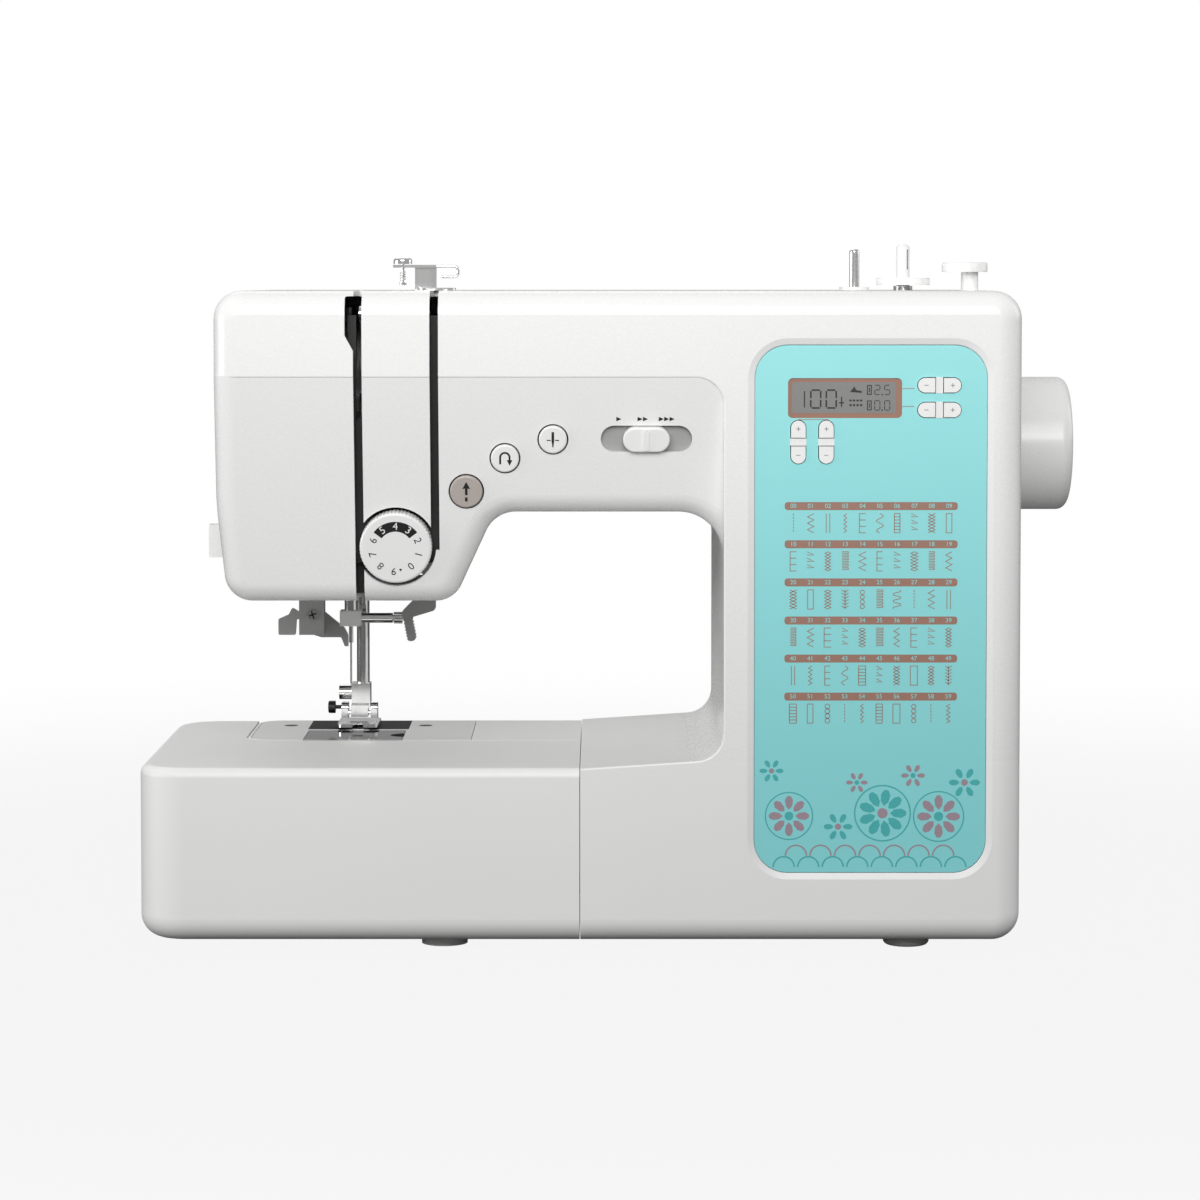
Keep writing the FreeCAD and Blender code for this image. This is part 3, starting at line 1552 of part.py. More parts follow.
def needle_threader():
    bar_at = (threader_x, needle_y)
    bar = rod("z", bar_at, threader_bar_radius, (threader_bar_bottom_z, threader_bar_top_z))
    post_x = (threader_x - threader_post_left, threader_x + threader_post_right)
    post = box(post_x, around(needle_y, threader_lug_half_width), (threader_head_bottom_z, threader_head_top_z))
    front = needle_y - threader_lug_half_width
    claw = prism([
        (post_x[0] + threader_sheet, threader_claw_z, 0.0),
        (post_x[0] - threader_claw_rise, threader_claw_z + threader_claw_rise, threader_corner),
        (post_x[0] - threader_claw_reach / 2, threader_claw_z, threader_corner),
        (post_x[0] - threader_claw_reach, threader_claw_z - threader_sheet, threader_corner),
        (post_x[0] - threader_claw_reach, threader_head_bottom_z, threader_corner),
        (post_x[0] - threader_claw_reach / 6, threader_head_bottom_z, threader_corner),
        (post_x[0] - threader_sheet / 2, threader_claw_z - threader_sheet, threader_corner),
        (post_x[0] + threader_sheet, threader_claw_z - threader_sheet, 0.0),
    ], "y", (front, front + threader_sheet))
    back = needle_y + threader_hook_back
    deep = (back, back + threader_hook_thickness)
    tip_x = needle_x - threader_hook_reach
    hook = prism([
        (post_x[1], threader_claw_z, 0.0),
        (tip_x - threader_hook_reach, threader_hook_top_z, threader_corner),
        (tip_x, threader_hook_top_z - 2 * threader_hook_reach, threader_corner),
        (tip_x, threader_hook_bottom_z, 0.0),
        (tip_x - threader_hook_reach, threader_hook_bottom_z, 0.0),
        (tip_x - 2 * threader_hook_reach, threader_head_bottom_z - threader_sheet, threader_corner),
        (post_x[0] + threader_claw_reach, threader_head_bottom_z - threader_sheet, threader_corner),
        (post_x[0] + threader_sheet, threader_head_bottom_z, 0.0),
    ], "y", deep)
    tie = box((post_x[0] + threader_sheet, post_x[1]), (needle_y, deep[1]),
              (threader_head_bottom_z, threader_claw_z))
    arm_z = (threader_arm_z, threader_arm_z + threader_arm_height)
    inner_x = around(head_left_x + threader_rail_inset, threader_arm_half_depth)
    cross = box((inner_x[0], threader_x), around(needle_y, threader_arm_half_depth), arm_z)
    rail = box(inner_x, (threader_tab_y - threader_arm_half_depth, needle_y + threader_arm_half_depth),
               arm_z)
    stem = box((head_left_x - 2 * wall, inner_x[1]), around(threader_tab_y, threader_arm_half_depth),
               arm_z)
    tab = box((head_left_x - threader_tab_out, head_left_x - seam_gap),
              around(threader_tab_y, threader_tab_half_depth),
              (threader_tab_bottom_z, threader_tab_top_z))
    return joined(bar, post, claw, hook, tie, cross, rail, stem, tab)


def take_up_lever():
    x = around(left_slot_x, take_up_thickness / 2)
    pivot = (take_up_y, take_up_z)
    tip = (take_up_tip_y, take_up_tip_z)
    front = capsule("x", pivot, tip, take_up_tip_radius, x)
    rear = capsule("x", pivot, (take_up_rear_y, take_up_rear_z), take_up_tip_radius, x)
    lever = joined(front, rear, rod("x", pivot, take_up_hub_radius, x))
    return cut(lever, rod("x", pivot, take_up_pin_radius + fit_gap, around(left_slot_x, wall)),
               rod("x", tip, take_up_eye_radius, around(left_slot_x, wall)))


# Presser


def presser_bar():
    at = (presser_x, presser_y)
    collar_z = (presser_collar_z, presser_collar_z + presser_collar_height)
    bar = rod("z", at, presser_radius, (presser_bottom_z, presser_top_z))
    collar = rod("z", at, presser_collar_radius, collar_z)
    arm = box((presser_x, presser_x + presser_arm_length), around(presser_y, presser_arm_half_depth),
              collar_z)
    return joined(bar, collar, arm)


def presser_spring():
    top = presser_lug_upper_z
    bottom = presser_collar_z + presser_collar_height
    return ring("z", (presser_x, presser_y), spring_outer_radius, spring_inner_radius, (bottom, top))


def presser_foot_holder():
    left = presser_x - holder_left
    block = box((left, left + holder_width), around(presser_y, holder_depth / 2),
                (holder_bottom_z, holder_top_z))
    nose = box(around(stitch_x, nose_half_width), around(foot_pin_y, nose_depth / 2),
               (nose_bottom_z, nose_top_z))
    bridge = box((left, stitch_x + nose_half_width), (foot_pin_y, presser_y),
                 (holder_bottom_z, nose_top_z))
    groove_radius = foot_pin_radius + foot_groove_gap
    sides = around(stitch_x, 2 * nose_half_width)
    groove = joined(rod("x", (foot_pin_y, foot_pin_z), groove_radius, sides),
                    box(sides, around(foot_pin_y, groove_radius), (nose_bottom_z - overlap, foot_pin_z)))
    bore = rod("z", (presser_x, presser_y), presser_radius, (presser_bottom_z, holder_top_z))
    thread = rod("x", (presser_y, holder_screw_z), holder_screw_shank, (left - overlap, presser_x))
    return cut(joined(block, nose, bridge), groove, bore, thread)


def holder_screw():
    left = presser_x - holder_left
    at = (presser_y, holder_screw_z)
    head = rod("x", at, holder_screw_radius, (left - holder_screw_length, left))
    shank = rod("x", at, holder_screw_shank, (left - overlap, presser_x))
    slot = box((left - holder_screw_length, left - holder_screw_length + screw_slot_depth),
               around(presser_y, screw_slot_width / 2), around(holder_screw_z, holder_screw_radius))
    bar = rod("z", (presser_x, presser_y), presser_radius, (presser_bottom_z, holder_top_z))
    return cut(joined(head, shank), slot, bar)


def presser_foot():
    sole_z = (foot_bottom_z, foot_bottom_z + foot_sole)
    x = around(stitch_x, foot_half_width)
    y = (foot_pin_y - foot_toe, foot_pin_y + foot_heel)
    sole = prism(rectangle(x, y, foot_corner), "z", sole_z)
    thick = (foot_bottom_z - overlap, sole_z[1] + overlap)
    gap = box(around(stitch_x, foot_toe_gap / 2), (y[0] - overlap, needle_y), thick)
    slot = pill("z", (stitch_x, needle_y), (foot_slot_length, foot_slot_depth), thick)
    ears = []
    for side in (-1, 1):
        inner = stitch_x + side * foot_ear_inner
        outer = inner + side * foot_ear_thickness
        ear_x = (min(inner, outer), max(inner, outer))
        base = box(ear_x, around(foot_pin_y, foot_ear_half_depth),
                   (foot_bottom_z, foot_ear_top_z - foot_ear_half_depth))
        crown = rod("x", (foot_pin_y, foot_ear_top_z - foot_ear_half_depth), foot_ear_half_depth, ear_x)
        ears.append(joined(base, crown))
    pin = rod("x", (foot_pin_y, foot_pin_z), foot_pin_radius, around(stitch_x, foot_ear_inner + overlap))
    bore = rod("x", (foot_pin_y, lock_z), lock_pin_radius + fit_gap,
               (stitch_x - foot_half_width, stitch_x - foot_ear_inner + overlap))
    return cut(joined(cut(sole, gap, slot), *ears, pin), bore)


def foot_lock_button():
    at = (foot_pin_y, lock_z)
    outer = stitch_x - foot_ear_inner - foot_ear_thickness
    knob_x = (outer - 2 * lock_travel - lock_knob_length, outer - 2 * lock_travel)
    knob = rod("x", at, lock_knob_radius, knob_x)
    knob = rounded_edges(knob, lock_knob_radius / 4, lambda edge: edge_on(edge, "X", knob_x[0]))
    pin_end = stitch_x - nose_half_width - lock_travel - seam_gap
    return joined(knob, rod("x", at, lock_pin_radius, (knob_x[1] - overlap, pin_end)))


def lifter_grip_point(along, across):
    """A point of the tilted grip, counted from the lever's elbow."""
    tilt = math.radians(lifter_grip_tilt)
    return (lifter_x - lifter_elbow_left + along * math.sin(tilt) + across * math.cos(tilt),
            lifter_z - lifter_elbow_drop - along * math.cos(tilt) + across * math.sin(tilt))


def presser_lifter():
    """A hub with a lifting lobe, an arm out of the head and a notched grip."""
    at = (lifter_x, lifter_z)
    deep = around(presser_y, lifter_half_depth)
    lobe_angle = math.radians(lifter_lobe_angle)
    lobe_at = (lifter_x + lifter_lobe_reach * math.cos(lobe_angle),
               lifter_z + lifter_lobe_reach * math.sin(lobe_angle))
    hub = rod("y", at, lifter_hub_radius, deep)
    lobe = capsule("y", at, lobe_at, lifter_lobe_radius, deep)
    heel_x = lifter_x - lifter_heel_left
    blade = prism([
        (lifter_x - lifter_hub_radius, lifter_z, 0.0),
        (lifter_x - lifter_hub_radius, lifter_z - lifter_bend_drop, lifter_corner),
        (*lifter_grip_point(0.0, 0.0), lifter_corner),
        (*lifter_grip_point(lifter_grip_length, 0.0), lifter_corner),
        (*lifter_grip_point(lifter_grip_length, lifter_grip_width), lifter_corner),
        (*lifter_grip_point(lifter_neck, lifter_grip_width), lifter_corner / 2),
        (heel_x, lifter_z - lifter_heel_drop, lifter_corner),
        (heel_x, lifter_z, 0.0),
    ], "y", deep)
    through = (deep[0] - overlap, deep[1] + overlap)
    notches = []
    for index in range(lifter_grip_notches):
        along = lifter_grip_length - lifter_corner - index * lifter_notch_pitch
        for across in (0.0, lifter_grip_width):
            notches.append(rod("y", lifter_grip_point(along, across), lifter_notch_radius, through))
    return cut(joined(hub, lobe, blade), rod("y", at, lifter_pin_radius + fit_gap, through), *notches)


# Thread path


def thread_channel():
    """Dark plate behind the slots and the dial, with the lever's own slot."""
    y = (channel_y, channel_y + channel_thickness)
    x = (left_slot_x - channel_margin, right_slot_x + channel_margin)
    z = (head_bottom_z + wall + channel_bottom_gap, ceiling_z - channel_top_gap)
    plate = box(x, y, z)
    side_x = (x[0] + channel_post_inset, x[1] - channel_post_inset)
    end_z = (z[0] + channel_post_inset, z[1] - channel_post_inset)
    posts = []
    for post_x, post_z in ((side_x[0], end_z[0]), (side_x[1], end_z[0]), (side_x[1], end_z[1])):
        near = slope_y(post_z) + slope_wall if post_z < crease_z else front_y + wall
        posts.append(rod("y", (post_x, post_z), channel_post_radius,
                         (near + channel_post_radius * slope_tangent, y[1])))
    lever_slot = box(around(left_slot_x, slot_width / 2), (y[0] - overlap, y[1] + overlap),
                     (take_up_z - 3 * take_up_hub_radius, z[1] + overlap))
    stem = on_slope(rod("z", (0, 0), dial_stem_radius + seam_gap, (-dial_sunk - slot_depth, 0)), dial_x,
                    dial_z)
    return cut(joined(plate, *posts), lever_slot, stem)


def tension_dial():
    """Thumb wheel with a fine grip round its edge and a stem to the tension discs."""
    wheel = rod("z", (0, 0), dial_radius, (-dial_sunk, dial_proud))
    wheel = rounded_edges(wheel, dial_edge_round, lambda edge: edge_on(edge, "Z", dial_proud))
    grips = []
    for index in range(dial_grips):
        angle = 2 * math.pi * index / dial_grips
        spot = (dial_radius * math.cos(angle), dial_radius * math.sin(angle))
        grips.append(rod("z", spot, dial_grip_depth, (-dial_sunk, dial_proud)))
    wheel = wheel.cut(grips)
    stem_end = (channel_y + channel_thickness - slope_y(dial_z)) / math.cos(math.radians(slope_angle))
    stem = rod("z", (0, 0), dial_stem_radius, (-stem_end, -dial_sunk + overlap))
    return on_slope(joined(wheel, stem), dial_x, dial_z)


def tension_discs():
    behind = channel_y + channel_thickness
    z = dial_z - (behind - slope_y(dial_z)) * math.tan(math.radians(slope_angle)) + tension_stud_radius
    at = (dial_x, z)
    parts = []
    for index in range(2):
        start = behind + dial_stem_radius + 2 * index * tension_disc_thickness
        parts.append(ring("y", at, tension_disc_radius, tension_stud_radius,
                          (start, start + tension_disc_thickness)))
    stud = rod("y", (dial_x, z), tension_stud_radius,
               (behind + dial_stem_radius - overlap, behind + tension_stud_length))
    nut = rod("y", (dial_x, z), tension_nut_radius,
              (behind + tension_stud_length - tension_nut_length, behind + tension_stud_length))
    foot = box(around(dial_x + tension_disc_radius + tension_nut_radius, tension_stud_radius),
               (behind, behind + tension_stud_length), around(z, tension_stud_radius))
    tie = box((dial_x, dial_x + tension_disc_radius + tension_nut_radius),
              (behind + tension_stud_length - tension_nut_length, behind + tension_stud_length),
              around(z, tension_stud_radius))
    return Part.makeCompound(parts + [joined(stud, nut, foot, tie)])


def button_places():
    """X and Z of each round button and its radius."""
    return {
        "start_stop_button": (start_x, start_z, start_radius),
        "reverse_button": (reverse_x, reverse_z, small_button_radius),
        "needle_position_button": (needle_button_x, needle_button_z, small_button_radius),
    }


def round_button(name):
    x, z, radius = button_places()[name]
    cap = rod("z", (0, 0), radius, (-button_sunk, button_proud))
    cap = rounded_edges(cap, button_edge_round, lambda edge: edge_on(edge, "Z", button_proud))
    return on_slope(cap, x, z)


def speed_slider():
    """Knob in its slot, on a flange behind the slot."""
    flange_length = speed_slot_length + speed_travel
    flange_top = -wall - seam_gap
    size = (speed_knob_length, speed_slot_height - 2 * slide_gap)
    knob = pill("z", (0, 0), size, (flange_top - overlap, speed_knob_proud))
    knob = rounded_edges(knob, button_edge_round, lambda edge: edge_on(edge, "Z", speed_knob_proud))
    ridge = pill("z", (0, 0), (speed_ridge_width, size[1] - 2 * button_edge_round),
                 (speed_knob_proud - overlap, speed_knob_proud + speed_ridge_height))
    flange = box(around(0, flange_length / 2), around(0, speed_flange_height / 2),
                 (flange_top - speed_flange_thickness, flange_top))
    return on_slope(joined(knob, ridge, flange), speed_x, speed_z)


# Panel


def control_panel():
    sheet = prism(panel_outline(0), "y", (panel_y, panel_back_y))
    thick = (panel_y - overlap, panel_back_y + overlap)
    tools = [prism(lcd_outline(0), "y", thick)]
    for at, size in key_places().values():
        tools.append(pill("y", at, grown(size, slide_gap), thick))
    return cut(sheet, *tools)


def lcd_window():
    """Display module: its bezel fills the panel's window and its body passes the wall."""
    bezel = prism(lcd_outline(-fit_gap), "y", (panel_y + lcd_sunk, panel_back_y))
    body = prism(lcd_outline(-lcd_frame_margin), "y",
                 (panel_y + lcd_sunk, panel_y + lcd_sunk + lcd_thickness))
    return joined(bezel, body)


def rocker_key(name):
    """Two caps on one web that rocks behind the land between them."""
    at, size = key_places()[name]
    web_y = (pad_back_y + seam_gap, pad_back_y + seam_gap + key_web_thickness)
    caps = pill("y", at, size, (panel_y - key_proud, web_y[0] + overlap))
    land = key_bridge_bar(at, grown(size, slide_gap), (front_y, web_y[0]))
    grow = 2 * slide_gap
    wide = (size[0], size[1] - grow) if size[0] > size[1] else (size[0] - grow, size[1])
    clear = key_bridge_bar(at, grown(wide, overlap), (front_y, web_y[0]))
    land = joined(land, clear)
    wider = land.copy()
    sideways = Vector(slide_gap, 0, 0) if size[0] > size[1] else Vector(0, 0, slide_gap)
    wider.translate(sideways)
    land.translate(sideways * -1)
    web = pill("y", at, size, web_y)
    return joined(cut(caps, land, wider), web)


def control_board():
    y = (pad_back_y + board_standoff, pad_back_y + board_standoff + board_thickness)
    x = (panel_left_x + board_margin, panel_left_x + panel_width - board_margin)
    board = box(x, y, (board_bottom_z, board_top_z))
    middle = (x[0] + x[1]) / 2
    chips = [box(around(middle + side * chip_size, chip_size / 2), (y[1] - overlap, y[1] + chip_height),
                 around(board_bottom_z + 3 * chip_size, chip_size / 2)) for side in (-1, 1)]
    return joined(board, *chips)


# Top of the casing


def arc_between(start, heading, end):
    """The arc that leaves start along heading and reaches end, and its heading there."""
    chord = end - start
    along = chord * (1 / chord.Length)
    sideways = heading - along * heading.dot(along)
    half = heading.getAngle(along)
    middle = start + chord * 0.5
    if sideways.Length > 1e-9:
        middle = middle + sideways.normalize() * (chord.Length / 2 * math.tan(half / 2))
    return Part.Arc(start, middle, end).toShape()


def coil(center, radius, wire, turns, pitch):
    """A helical wire: each quarter turn is two tangent arcs."""
    def at(turn):
        angle = 2 * math.pi * turn
        return center + Vector(radius * math.cos(angle), radius * math.sin(angle), pitch * turn)

    def heading(turn):
        angle = 2 * math.pi * turn
        circle = 2 * math.pi * radius
        return Vector(-circle * math.sin(angle), circle * math.cos(angle), pitch).normalize()

    edges = []
    for quarter in range(4 * turns):
        start, end = at(quarter / 4), at((quarter + 1) / 4)
        leave, arrive = heading(quarter / 4), heading((quarter + 1) / 4)
        run = end - start
        both = run.dot(leave + arrive)
        bend = 2 * (1 - leave.dot(arrive))
        handle = (-both + math.sqrt(both * both + bend * run.dot(run))) / bend
        meet = (start + leave * handle + end - arrive * handle) * 0.5
        edges.append(arc_between(start, leave, meet))
        edges.append(arc_between(end, arrive * -1, meet))
    path = Part.Wire(Part.__sortEdges__(edges))
    section = Part.Wire(Part.makeCircle(wire, at(0), heading(0)))
    points = [at(step / 24) for step in range(24 * turns + 1)]
    least = min((a - b).Length for i, a in enumerate(points) for b in points[i + 16:]) - 2 * wire
    print("thread guide spring: least gap to itself", round(least, 2), "mm")
    return path.makePipeShell([section], True, False)


def top_thread_guide():
    base_top = body_height + guide_sheet
    base = pill("z", (guide_x + guide_hook_length / 2, guide_y), (guide_base_length, guide_base_depth),
                (body_height, base_top))
    left = guide_x - guide_plate_left
    top = base_top + guide_plate_height
    sheet_y = around(guide_y, guide_sheet / 2)
    plate = box((left, left + guide_plate_width), sheet_y, (base_top - overlap, top))
    stud_x = guide_x + guide_stud_x
    flange = box((stud_x - guide_cap_radius, left + guide_plate_width),
                 around(guide_y, guide_base_depth / 2),
                 (top - guide_sheet, top))
    corner = left + guide_plate_width
    wire_z = top - guide_sheet / 2
    outer_x = corner + guide_hook_length
    low_z = wire_z - guide_hook_drop
    path_points = [
        (corner - overlap, wire_z, 0.0),
        (outer_x, wire_z, guide_hook_bend),
        (outer_x, low_z, guide_hook_bend),
        (corner + guide_hook_bend, low_z, 0.0),
    ]
    hook = bent_wire(path_points, guide_y, guide_wire_radius)
    stud_bottom = base_top + guide_sheet
    cap_bottom = top + guide_cap_gap
    stud = rod("z", (stud_x, guide_y), guide_stud_radius, (stud_bottom, cap_bottom + overlap))
    cap = rod("z", (stud_x, guide_y), guide_cap_radius, (cap_bottom, cap_bottom + guide_cap_height))
    cap = rounded_edges(cap, guide_cap_height / 2,
                        lambda edge: edge_on(edge, "Z", cap_bottom + guide_cap_height))
    washer_top = stud_bottom + guide_sheet
    washer = rod("z", (stud_x, guide_y), guide_spring_radius + 2 * guide_spring_wire,
                 (stud_bottom, washer_top))
    frame = joined(base, plate, flange, hook, stud, cap, washer)
    spring_start = Vector(stud_x, guide_y, washer_top + guide_spring_wire + fit_gap)
    spring = coil(spring_start, guide_spring_radius, guide_spring_wire, guide_spring_turns,
                  guide_spring_pitch)
    return Part.makeCompound([frame, spring])


def bent_wire(points, y, radius):
    """A round wire along straight runs joined by arcs, in the plane of one Y."""
    flat = [Vector(x, y, z) for x, z, bend in points]
    edges = []
    cursor = flat[0]
    for index in range(1, len(points) - 1):
        here = flat[index]
        bend = points[index][2]
        back = (flat[index - 1] - here).normalize()
        ahead = (flat[index + 1] - here).normalize()
        half = back.getAngle(ahead) / 2
        reach = bend / math.tan(half)
        inward = (back + ahead).normalize()
        start = here + back * reach
        end = here + ahead * reach
        edges.append(Part.LineSegment(cursor, start).toShape())
        edges.append(Part.Arc(start, here + inward * (bend / math.sin(half) - bend), end).toShape())
        cursor = end
    edges.append(Part.LineSegment(cursor, flat[-1]).toShape())
    section = Part.Wire(Part.makeCircle(radius, flat[0], flat[1] - flat[0]))
    return Part.Wire(edges).makePipeShell([section], True, False)


def spool_pin():
    at = (spool_x, spool_y)
    shoulder = body_height + spool_seat_height
    top = body_height + spool_top
    stem = rod("z", at, spool_stem_radius, (body_height - spool_stem_bottom, shoulder))
    pin = rod("z", at, spool_pin_radius, (shoulder - overlap, top))
    pin = rounded_edges(pin, spool_pin_radius / 2, lambda edge: edge_on(edge, "Z", top))
    return joined(stem, pin)


def winder_arm_z():
    top = ceiling_z - winder_arm_gap
    return (top - winder_arm_thickness, top)


def bobbin_winder_arm():
    z = winder_arm_z()
    arm = capsule("z", (winder_x, winder_pivot_y), (winder_x, winder_y), winder_arm_half_width, z)
    post_top = body_height + winder_seat_bottom - winder_post_gap
    post = rod("z", (winder_x, winder_y), winder_post_radius, (z[0], post_top))
    deep = (z[0] - overlap, post_top + overlap)
    return cut(joined(arm, post), rod("z", (winder_x, winder_y), winder_shaft_radius + fit_gap, deep),
               rod("z", (winder_x, winder_pivot_y), winder_pivot_radius + fit_gap, deep))


def bobbin_winder():
    at = (winder_x, winder_y)
    top = body_height + winder_top
    seat_z = body_height + winder_seat_bottom
    wheel_top = winder_arm_z()[0] - seam_gap
    shaft = rod("z", at, winder_shaft_radius, (wheel_top - winder_wheel_height, top))
    shaft = shaft.makeChamfer(winder_tip, [edge for edge in shaft.Edges if edge_on(edge, "Z", top)])
    seat = rod("z", at, winder_seat_radius, (seat_z, seat_z + winder_seat_height))
    wheel = rod("z", at, winder_wheel_radius, (wheel_top - winder_wheel_height, wheel_top))
    return joined(shaft, seat, wheel)


def bobbin_winder_stop():
    """Stem with an off-centre disc that sets how full the bobbin winds."""
    disc_z = body_height + stop_stem_height
    shank = rod("z", (stop_x, winder_y), stop_shank_radius, (ceiling_z, body_height + overlap))
    stem = rod("z", (stop_x, winder_y), stop_stem_radius, (body_height, disc_z + overlap))
    disc = rod("z", (stop_x - stop_disc_offset, winder_y), stop_disc_radius,
               (disc_z, disc_z + stop_disc_height))
    disc = rounded_edges(disc, button_edge_round,
                         lambda edge: edge_on(edge, "Z", disc_z + stop_disc_height))
    return joined(shank, stem, disc)


# Right side


def power_sockets():
    x = (body_right_x - socket_length, body_right_x - seam_gap)
    block = box(x, around(socket_y, socket_half_depth), around(socket_z, socket_half_height))
    mouth_y = socket_y - socket_half_depth / 3
    floor_x = x[1] - inlet_depth
    mouth = pill("x", (mouth_y, socket_z), (inlet_length, inlet_height), (floor_x, x[1] + overlap))
    jack = rod("x", (socket_y + 2 * socket_half_depth / 3, socket_z), jack_radius,
               (floor_x, x[1] + overlap))
    pins = [rod("x", (mouth_y + side * inlet_pin_spacing / 2, socket_z), inlet_pin_radius,
                (floor_x - overlap, x[1] - wall))
            for side in (-1, 1)]
    return joined(cut(block, mouth, jack), *pins)


def power_switch():
    """Rocker whose round back turns in the side wall, tilted to one side at rest."""
    axis_x = body_right_x - switch_radius + switch_proud
    at = (axis_x, switch_z)
    drum = rod("y", at, switch_radius, around(socket_y, switch_half_depth))
    face = box((axis_x + switch_radius - switch_proud, axis_x + 2 * switch_radius),
               around(socket_y, 2 * switch_half_depth),
               around(switch_z, 2 * switch_radius))
    face.rotate(Vector(axis_x, socket_y, switch_z), Vector(0, 1, 0), switch_rock)
    return cut(drum, face)


def pieces():
    makers = [front_cover, rear_cover, free_arm_cover, base_plate, flat_bed_attachment, main_frame,
              shaft_bushings, feet, case_screws, needle_plate, bobbin_cover, feed_dog, rotary_hook,
              bobbin_case, bobbin, lower_shaft, upper_shaft, handwheel, drive_pulley, needle_bar_crank,
              motor, motor_pulley, motor_belt, timing_belt, needle_bar_frame, needle_bar, needle_clamp,
              needle_clamp_screw, needle, needle_bar_link, needle_threader, take_up_lever, presser_bar,
              presser_spring, presser_foot_holder, holder_screw, presser_foot, foot_lock_button,
              presser_lifter, thread_channel, tension_dial, tension_discs, speed_slider, control_panel,
              lcd_window, control_board, top_thread_guide, spool_pin, bobbin_winder_arm, bobbin_winder,
              bobbin_winder_stop, power_sockets, power_switch]
    made = {maker.__name__: maker() for maker in makers}
    made.update({name: round_button(name) for name in button_places()})
    made.update({name: rocker_key(name) for name in key_places()})
    return made


def main():
    os.makedirs("parts", exist_ok=True)
    for name, shape in pieces().items():
        shape.exportStep(os.path.join("parts", name + ".step"))
        print(name, len(shape.Solids), "solid(s), valid" if shape.isValid() else "solid(s), NOT VALID")


if __name__ == "__main__":
    main()
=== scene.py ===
import math

import bmesh
import bpy
from mathutils import Matrix, Vector


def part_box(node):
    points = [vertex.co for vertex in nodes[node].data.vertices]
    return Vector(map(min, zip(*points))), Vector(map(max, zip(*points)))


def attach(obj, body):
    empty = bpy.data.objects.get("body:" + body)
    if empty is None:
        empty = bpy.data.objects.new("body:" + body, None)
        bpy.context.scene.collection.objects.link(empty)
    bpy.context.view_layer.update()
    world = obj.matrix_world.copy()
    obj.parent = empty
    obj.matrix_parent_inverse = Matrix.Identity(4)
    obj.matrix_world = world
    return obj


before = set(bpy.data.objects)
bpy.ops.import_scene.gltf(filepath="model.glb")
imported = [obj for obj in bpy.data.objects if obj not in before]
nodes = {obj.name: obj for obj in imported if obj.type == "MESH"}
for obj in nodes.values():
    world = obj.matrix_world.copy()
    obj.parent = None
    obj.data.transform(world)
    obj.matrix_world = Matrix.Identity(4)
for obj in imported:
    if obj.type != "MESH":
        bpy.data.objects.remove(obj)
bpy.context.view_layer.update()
scene = bpy.context.scene
mm = 0.001


def paint(red, green, blue):
    # screen colour, 0 to 255, as the linear colour a shader takes
    def linear(value):
        value /= 255
        return value / 12.92 if value <= 0.04045 else ((value + 0.055) / 1.055) ** 2.4
    return (linear(red), linear(green), linear(blue), 1.0)


# the leaning face of the arm, and how far behind it the slider's flange lies
slopeLook = {"angle": math.radians(9.0), "topZ": 247 * mm, "topY": -88.6 * mm, "flange": 1.6 * mm}


# shader sums

class Wire:  # one socket, so that sums on it read as Python
    def __init__(self, bench, socket):
        self.bench = bench
        self.socket = socket

    def sum(self, operation, first, second):
        return self.bench.add("ShaderNodeMath", {"operation": operation}, {0: first, 1: second})

    def __add__(self, other):
        return self.sum("ADD", self, other)

    def __sub__(self, other):
        return self.sum("SUBTRACT", self, other)

    def __rsub__(self, other):
        return self.sum("SUBTRACT", other, self)

    def __mul__(self, other):
        return self.sum("MULTIPLY", self, other)

    def __gt__(self, other):
        return self.sum("GREATER_THAN", self, other)

    def __lt__(self, other):
        return self.sum("LESS_THAN", self, other)

    __radd__ = __add__
    __rmul__ = __mul__


class Bench:  # the node tree of one material, or of the world
    def __init__(self, name, owner=None):
        self.material = owner or bpy.data.materials.new(name)
        self.material.use_nodes = True
        self.tree = self.material.node_tree
        self.tree.nodes.clear()

    def add(self, kind, settings=None, sockets=None, out=0):
        node = self.tree.nodes.new(kind)
        for key, value in (settings or {}).items():
            setattr(node, key, value)
        for key, value in (sockets or {}).items():
            if isinstance(value, Wire):
                self.tree.links.new(value.socket, node.inputs[key])
            else:
                node.inputs[key].default_value = value
        return Wire(self, node.outputs[out]) if node.outputs else None

    def place(self):
        return self.add("ShaderNodeTexCoord", out=3)

    def noise(self, scale, detail=2.0):
        return self.add("ShaderNodeTexNoise", None,
                        {"Vector": self.place(), "Scale": scale, "Detail": detail})

    def axes(self):
        split = self.add("ShaderNodeSeparateXYZ", None, {"Vector": self.place()})
        return [Wire(self, output) for output in split.socket.node.outputs]

    def rays(self, *kinds):
        path = self.add("ShaderNodeLightPath").socket.node.outputs
        return [Wire(self, path["Is %s Ray" % kind]) for kind in kinds]

    def fade(self, value, low, high):
        return self.add("ShaderNodeMapRange", {"interpolation_type": "SMOOTHSTEP"},
                        {"Value": value, "From Min": low, "From Max": high})

    def blend(self, factor, first, second):
        return self.add("ShaderNodeMix", {"data_type": "RGBA"}, {0: factor, 6: first, 7: second}, 2)

    def bump(self, height, strength, distance):
        return self.add("ShaderNodeBump", None,
                        {"Height": height, "Strength": strength, "Distance": distance})

    def surface(self, **sockets):
        named = {key.replace("_", " "): value for key, value in sockets.items()}
        shader = self.add("ShaderNodeBsdfPrincipled", None, named)
        self.add("ShaderNodeOutputMaterial", None, {"Surface": shader})
        return self.material


cloudScale = 14.0  # of the faint clouding in plain plastic


